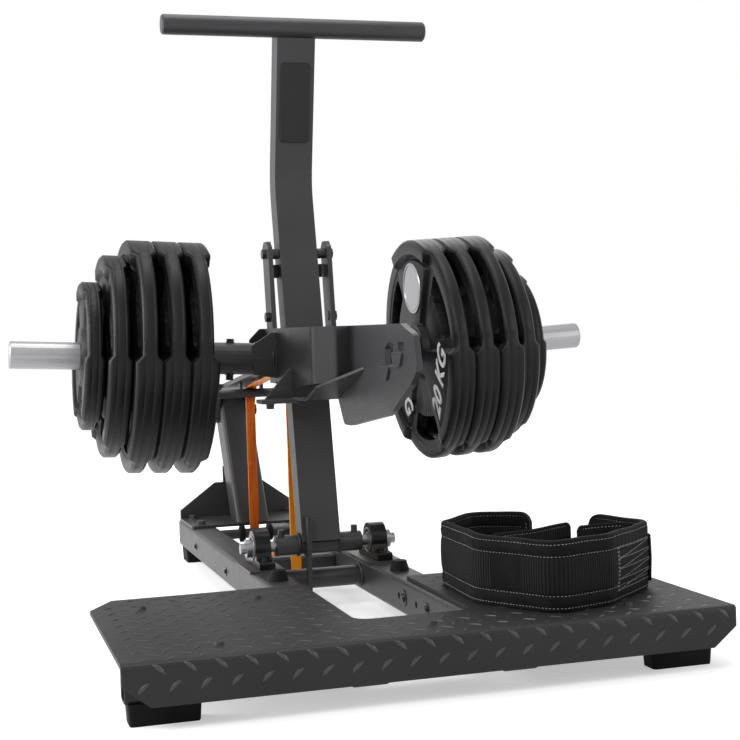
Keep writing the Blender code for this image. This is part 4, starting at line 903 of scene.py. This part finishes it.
def clothWall(name, length, tall, faces, place, corner):
    # closed wall of cloth: its outer face, its inner face and the rolled edges between them
    form = bmesh.new()
    chart = form.loops.layers.uv.new("clothRun")
    count = max(8, int(length / belt["meshStep"]))
    alongs = [length * index / count for index in range(count + 1)]
    alongs[0], alongs[-1] = belt["endGap"], length - belt["endGap"]
    heights = [face[0] for face in faces]
    grids = [[[form.verts.new(place(along, ovalEnd(along, height, length, corner, tall), outer)[0])
               for height in heights] for along in alongs] for outer in (True, False)]
    last = len(heights) - 1
    edge = 0.002    # width that the rolled edges take on the chart

    def quad(spots, flip, mark):
        spots = spots[::-1] if flip else spots
        face = form.faces.new([grids[side][index][level] for side, index, level in spots])
        for loop, spot in zip(face.loops, spots):
            loop[chart].uv = mark(*spot)

    for side in (0, 1):
        for index in range(count):
            for level in range(last):
                corners = [(side, index, level), (side, index + 1, level), (side, index + 1, level + 1),
                           (side, index, level + 1)]
                quad(corners, side, lambda side, index, level: (alongs[index], heights[level]))
    for index in range(count):
        for level in (0, last):
            quad([(0, index, level), (1, index, level), (1, index + 1, level), (0, index + 1, level)], level,
                 lambda side, index, level: (alongs[index], heights[level] + edge * side))
    for level in range(last):
        for index in (0, count):
            quad([(0, index, level), (0, index, level + 1), (1, index, level + 1), (1, index, level)], index,
                 lambda side, index, level: (edge * side, heights[level]))
    return pieceOf(name, form, 50)


def stitchRow(form, spots):
    # dashes of thread along a row of (place, way out) spots
    radius, stitch = belt["threadRadius"], belt["stitch"]
    run = Run([place for place, out in spots])

    def spot(along):
        index, share = run.seek(along)
        return spots[index][0].lerp(spots[index + 1][0], share), spots[index][1]

    start = 0.0
    while start + stitch < run.length:
        first, out = spot(start)
        last = spot(start + stitch)[0]
        out = Vector((out.x, out.y, 0)).normalized()
        across = (last - first).normalized().cross(out).normalized()
        rings = []
        for share, size in ((0.0, 0.25), (0.22, 1.0), (0.78, 1.0), (1.0, 0.25)):    # thin at both ends
            centre = first.lerp(last, share) + out * radius * (1.2 * size - 0.6)
            rings.append([form.verts.new(centre + across * math.cos(turn) * radius * size
                                         + out * math.sin(turn) * radius * size)
                          for turn in (step * tau / 5 for step in range(5))])
        skin(form, rings, caps=True)
        start += stitch + belt["stitchGap"]


def patchStart():
    # distance along the belt at which its right side begins, after the rounded front corner
    corner = Vector(belt["plan"][5])
    return min(zip([(point - corner).length for point in beltRun.points], beltRun.marks))[1]


def stitchWall(form):
    # rows along both faces, and one up each end
    inset, count = belt["rowInset"], int(beltRun.length / belt["rowStep"])
    for line in belt["stitchLines"]:
        for outer in (True, False):
            stitchRow(form, beltRow((inset, line), (beltRun.length - inset, line), count, outer))
    inset, low, high = belt["endRow"]
    for at in (inset, beltRun.length - inset):
        for outer in (True, False):
            stitchRow(form, beltRow((at, low), (at, high), 40, outer))


def stitchPatch(form):
    # rows of stitches on the right side, and the slants between them that hold the strap
    low, high = belt["patch"][2:]
    left, right = (patchStart() + along for along in belt["patch"][:2])
    lift, rows, hem = belt["patchThick"], belt["patchRows"] - 1, belt["patchHem"]
    for row in range(rows + 1):
        share = row / rows
        start, end = low + (high - low) * share, low + (high - low) * min(1.0, share + belt["patchRise"])
        stitchRow(form, beltRow((left, start), (right, end), 60, True, lift))
        if row:
            before = low + (high - low) * (row - 1) / rows
            stitchRow(form, beltRow((left, before), (right, start), 60, True, lift))
    for at in (left - hem, left, right, right + hem):
        stitchRow(form, beltRow((at, low - hem / 2), (at, high + hem / 2), 40, True, lift))


def makeStrapEnd():
    # strap end that lies on the wall beside the patch
    start, end, low, high = belt["strapEnd"]
    start, length, tall = patchStart() + start, end - start, high - low

    def place(along, height, outer):
        base, out = beltPoint(start + along, low + height, True, belt["strapGap"])
        return base + Vector((out.x, out.y, 0)) * (belt["strapThick"] if outer else 0.0), out

    levels = (0.0, 0.0015, 0.006, tall / 2, tall - 0.006, tall - 0.0015, tall)
    strap = clothWall("beltStrapEnd", length, tall, [(level,) for level in levels], place, belt["strapRound"])
    riding(strap, "belt", beltCloth, "belt_fabric")


def makeFlap(number, plan, form):
    # loose flap inside the wall: a strap on edge with stitched borders
    low, high = belt["innerTall"]
    tall, hem = high - low, belt["flapHem"]
    run = Run(filletPath(plan, [belt["flapBend"]] * len(plan), 8))
    faces = (    # height, and how far both faces stand out there
        (0.0, -0.0016), (0.0012, 0.0), (0.0045, 0.0002), (hem, -0.0006), (0.0075, 0.0002), (tall / 2, 0.0008),
        (tall - 0.0075, 0.0002), (tall - hem, -0.0006), (tall - 0.0045, 0.0002), (tall - 0.0012, 0.0),
        (tall, -0.0016),
    )

    def place(along, height, outer):
        point, out = run.at(along)
        fold = [face for face in faces if face[0] <= height + 1e-6][-1][1]
        stand = belt["flapThick"] / 2 + fold
        flat = point + out * (stand if outer else -stand)
        wave = belt["flapWave"] * math.sin(along * 40 + number)
        return drawnAt + Vector((flat.x, flat.y, belt["foot"] + low + height + wave)), out

    flap = clothWall(f"beltFlap_{number}", run.length, tall, faces, place, belt["flapRound"])
    riding(flap, "belt", beltCloth, "belt_fabric")
    inset, count = belt["flapInset"], 80
    for outer in (True, False):
        for height in (hem, tall - hem):
            spots = [place(inset + (run.length - 2 * inset) * step / count, height, outer)
                     for step in range(count + 1)]
            stitchRow(form, [(spot, out if outer else -out) for spot, out in spots])


def makeBelt():
    wall = clothWall("beltWall", beltRun.length, belt["tall"], beltFaces, beltPoint, belt["endRound"])
    riding(wall, "belt", beltCloth, "belt_fabric", "belt", "belt_strap")
    form = bmesh.new()
    stitchWall(form)
    stitchPatch(form)
    riding(pieceOf("beltStitches", form, 60), "belt", thread, "belt_fabric")
    makeStrapEnd()
    form = bmesh.new()
    for number, plan in enumerate(belt["innerFlaps"], 1):
        makeFlap(number, plan, form)
    riding(pieceOf("beltFlapStitches", form, 60), "belt", thread, "belt_fabric")


makeBelt()
print("the belt is sewn:", round(beltRun.length, 3), "m along its wall")


# Resistance band: a flat latex loop over the lever's bars and round the peg and cross tube of the base
band = {
    "corners": ((0.1842, 0.02958), (0.5828, 0.0512), (0.5818, 0.3988), (0.1842, 0.45121)),    # y and z
    "rounds": (0.004, 0.0138, 0.0128, 0.0108),
    "width": 0.0215,
    "thick": 0.0048,
    "edge": 0.0016,
    "stride": 0.008,
    "swells": ((0.02, 0.35), (0.012, 1.1)),    # share of the width, and turn for each stride
    "middleY": 0.38,
    "foot": 0.10,    # the loop lies along the base up to this height, and along the lever from here up to the top
    "top": 0.40,
}


def makeBand():
    path = walked(filletPath(band["corners"], band["rounds"], 10, closed=True), band["stride"])
    half, thick, corner = band["width"] / 2, band["thick"] / 2, band["edge"]
    section = []
    for x, z in ((-1, -1), (1, -1), (1, 1), (-1, 1)):
        centre = Vector((x * (half - corner), z * (thick - corner)))
        first = math.atan2(z, x) - tau / 8
        section += [centre + Vector((math.cos(first + turn), math.sin(first + turn))) * corner
                    for turn in (0, tau / 12, tau / 6, tau / 4)]
    form = bmesh.new()
    rows = []
    for index, point in enumerate(path):
        way = (path[(index + 1) % len(path)] - path[index - 1]).normalized()
        out = Vector((way.y, -way.x))
        swell = 1 + sum(share * math.sin(index * turn) for share, turn in band["swells"])
        flats = [(across * swell, point + out * stand) for across, stand in section]
        rows.append([form.verts.new(drawnAt + Vector((x, flat.x, flat.y))) for x, flat in flats])
    skin(form, rows, closed=True)
    made = pieceOf("bandLoop", form, 40)
    made.data.materials.clear()
    made.data.materials.append(latex)
    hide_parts("resistance_band")
    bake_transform(made)


makeBand()
print("the resistance band is looped on")


# Tread of the platform: rows of raised tears that lean one way and then the other, also round the front bend
tread = {
    "rowStep": 0.0245,
    "firstRow": 0.0400,    # down the skin from the start of the bend
    "lastRow": -0.462,
    "pitch": 0.0428,
    "firstX": -0.4355,
    "lean": 41,
    "long": 0.0225,
    "wide": 0.0062,
    "tall": 0.0013,
    "bow": 0.0011,
    "sunk": 0.0002,
    "profile": ((-0.5, 0.0), (-0.22, 0.75), (0.0, 1.0), (0.22, 0.75), (0.5, 0.0)),    # in widths and heights
    "top": 0.0868,
    "bendAt": -0.720,
    "bendRadius": 0.010,
    "halfWidth": 0.456,
    "sideGap": 0.004,
    "notch": (0.110, -0.596),           # half its width, and its front
    "cutCorner": (0.426, -0.260),       # a point on the slanted rear corner
    "cutSlope": 1.75,
    "cutGap": 0.012,
    "screws": ((0.385, -0.347), (0.194, -0.339), (0.318, -0.659), (0.0, -0.657)),
    "screwGap": 0.019,
}


def treadSkin(x, down):
    # place and outward way on the platform's skin: along the top, round the bend, then down the front
    radius, quarter = tread["bendRadius"], tread["bendRadius"] * tau / 4
    if down <= 0:
        return Vector((x, tread["bendAt"] - down, tread["top"])), Vector((0, 0, 1))
    if down < quarter:
        turn = down / radius
        out = Vector((0, -math.sin(turn), math.cos(turn)))
        return Vector((x, tread["bendAt"], tread["top"] - radius)) + out * radius, out
    return Vector((x, tread["bendAt"] - radius, tread["top"] - radius - (down - quarter))), Vector((0, -1, 0))


def treadFits(x, down):
    # clear of the sides, the notch, the slanted corners and the screws
    x, y = abs(x), tread["bendAt"] - down
    if x > tread["halfWidth"] - tread["sideGap"]:
        return False
    if down > 0:
        return True
    if x < tread["notch"][0] and y > tread["notch"][1]:
        return False
    cornerX, cornerY = tread["cutCorner"]
    if y + x * tread["cutSlope"] > cornerY + cornerX * tread["cutSlope"] - tread["cutGap"]:
        return False
    return all(math.hypot(x - at, y - back) > tread["screwGap"] for at, back in tread["screws"])


def addTear(form, x, down, lean):
    stations = 8
    rows = []
    for step in range(stations + 1):
        share = step / stations
        full = max(0.0, 1 - (2 * share - 1) ** 2)
        along = (share - 0.5) * tread["long"]
        row = []
        for across, lift in tread["profile"]:
            side = across * tread["wide"] * full ** 0.8 + tread["bow"] * full
            shiftX = along * math.cos(lean) - side * math.sin(lean)
            shiftUp = along * math.sin(lean) + side * math.cos(lean)
            place, out = treadSkin(x + shiftX, down - shiftUp)
            height = lift * tread["tall"] * full ** 0.6 if lift else -tread["sunk"]
            row.append(drawnAt + place + out * height)
        rows.append(row)
    tips = [form.verts.new(rows[end][2]) for end in (0, -1)]
    rings = [[form.verts.new(point) for point in row] for row in rows[1:-1]]
    skin(form, rings)
    fan(form, tips[0], rings[0])
    fan(form, tips[1], rings[-1])


def makeTread():
    form = bmesh.new()
    down, row = tread["firstRow"], 0
    while down > tread["lastRow"]:
        odd = row % 2
        lean = math.radians(-tread["lean"] if odd else tread["lean"])
        x = tread["firstX"] + (tread["pitch"] / 2 if odd else 0.0)
        while x < tread["halfWidth"]:
            if treadFits(x, down):
                addTear(form, x, down, lean)
            x += tread["pitch"]
        down -= tread["rowStep"]
        row += 1
    riding(pieceOf("platformTread", form, 62), "base", treadCoat, "deck_paint")


makeTread()
print("the platform has its tread")


# Bearing races and rail bolts
hardware = {
    "shaft": (0.0, 0.1176),          # y and z of the handle's shaft
    "bearingX": 0.114,
    "bearingHalf": 0.0152,
    "races": ((0.0110, 0.0150), (0.0205, 0.0238)),    # inner and outer radius
    "washerThick": 0.0014,
    "washerBore": 0.003,
    "railBolts": (                   # face of the rail, way it looks, y, z, radius of washer
        (0.1440, 1, 0.543, 0.0475, 0.0085), (0.1440, 1, 0.192, 0.0451, 0.0085),
        (0.0840, -1, -0.264, 0.0505, 0.0150), (0.0840, -1, -0.388, 0.0534, 0.0100),
    ),
    "boltShare": 0.58,               # of the washer's radius
    "boltDome": ((0.0012, 1.0), (0.00225, 0.98), (0.003375, 0.86), (0.004185, 0.6), (0.0045, 0.25)),
}


def addRing(form, centre, axis, inner, outer):
    # flat washer with slightly rounded rims
    thick = hardware["washerThick"]
    soft = min(thick, outer - inner) * 0.3
    section = ((inner, 0.0), (outer, 0.0), (outer, thick - soft), (outer - soft, thick),
               (inner + soft, thick), (inner, thick - soft))
    rings = [[form.verts.new(centre + way * radius + axis * rise) for radius, rise in section]
             for way in circleOf(Vector(), axis, 1.0, 40)]
    skin(form, rings, closed=True)


def makeBearingRings():
    y, z = hardware["shaft"]
    form = bmesh.new()
    for side in (-1, 1):
        for face in (-1, 1):
            centre = drawnAt + Vector((side * hardware["bearingX"] + face * hardware["bearingHalf"], y, z))
            for inner, outer in hardware["races"]:
                addRing(form, centre, Vector((face, 0, 0)), inner, outer)
    riding(pieceOf("bearingRaces", form, 40), "base", steel, "bright_steel")


def makeRailBolts():
    # on each rail: a washer with a domed bolt head
    form = bmesh.new()
    for side in (-1, 1):
        for x, way, y, z, washer in hardware["railBolts"]:
            axis = Vector((side * way, 0, 0))
            centre = drawnAt + Vector((side * x, y, z))
            addRing(form, centre, axis, hardware["washerBore"], washer)
            rings = [[form.verts.new(spot + axis * rise)
                      for spot in circleOf(centre, axis, washer * hardware["boltShare"] * size, 20)]
                     for rise, size in hardware["boltDome"]]
            skin(form, rings, caps=True)
    riding(pieceOf("railBolts", form, 40), "base", blackParts, "black_steel")


# Weld beads: a rippled run of metal along each seam that shows
sleeveX = 0.0775
welds = {
    "radius": 0.0030,
    "ripple": 0.0028,
    "stride": 0.0009,
    "swell": (0.86, 0.16),    # least size, and how much a ripple adds
    "handleTop": ((-0.0380, 0.0300, 1.0985), (0.0380, 0.0300, 1.0985),
                  (0.0380, 0.0520, 1.0935), (-0.0380, 0.0520, 1.0935)),
    "round": (                # name, body, its centre, radius
        ("crossTube", "base", (0.0825, 0.008, 0.050), 0.0198),
        ("sleeveHolder", "lever", (sleeveX, discs["sleeve"][1], discs["sleeve"][2]
                                   + sleeveX * math.tan(math.radians(discs["tilt"]))), 0.0308),
        ("shaftTube", "handle", (0.0400, *hardware["shaft"]), 0.0198),
    ),
}


def weldBead(name, body, seam):
    # the closed seam is walked in steps, and each step's ring swells like a ripple
    path = walked([drawnAt + Vector(point) for point in seam], welds["stride"])
    upright = Vector((0, 0, 1))
    least, more = welds["swell"]
    form = bmesh.new()
    rows, travelled = [], 0.0
    for index, point in enumerate(path):
        way = (path[(index + 1) % len(path)] - path[index - 1]).normalized()
        side = (upright - way * way.z).normalized() if abs(way.z) < 0.9 else way.orthogonal().normalized()
        up = way.cross(side)
        travelled += (point - path[index - 1]).length if index else 0.0
        phase = (travelled % welds["ripple"]) / welds["ripple"]
        size = welds["radius"] * (least + more * math.sqrt(phase))
        ring = [side * math.cos(tau * step / 8) + up * math.sin(tau * step / 8) for step in range(8)]
        rows.append([form.verts.new(point + spoke * size) for spoke in ring])
    skin(form, rows, closed=True)
    riding(pieceOf(f"weld_{name}", form, 70), body, frameCoat, "frame_paint")


def makeWelds():
    weldBead("handleTop", "handle", welds["handleTop"])
    for side, word in sides:
        for name, body, (x, y, z), radius in welds["round"]:
            seam = circleOf(Vector((side * x, y, z)), Vector((1, 0, 0)), radius, 36)
            weldBead(f"{name}_{word}", body, seam)


makeBearingRings()
makeRailBolts()
makeWelds()
print("bearing rings, rail bolts and weld beads are on")
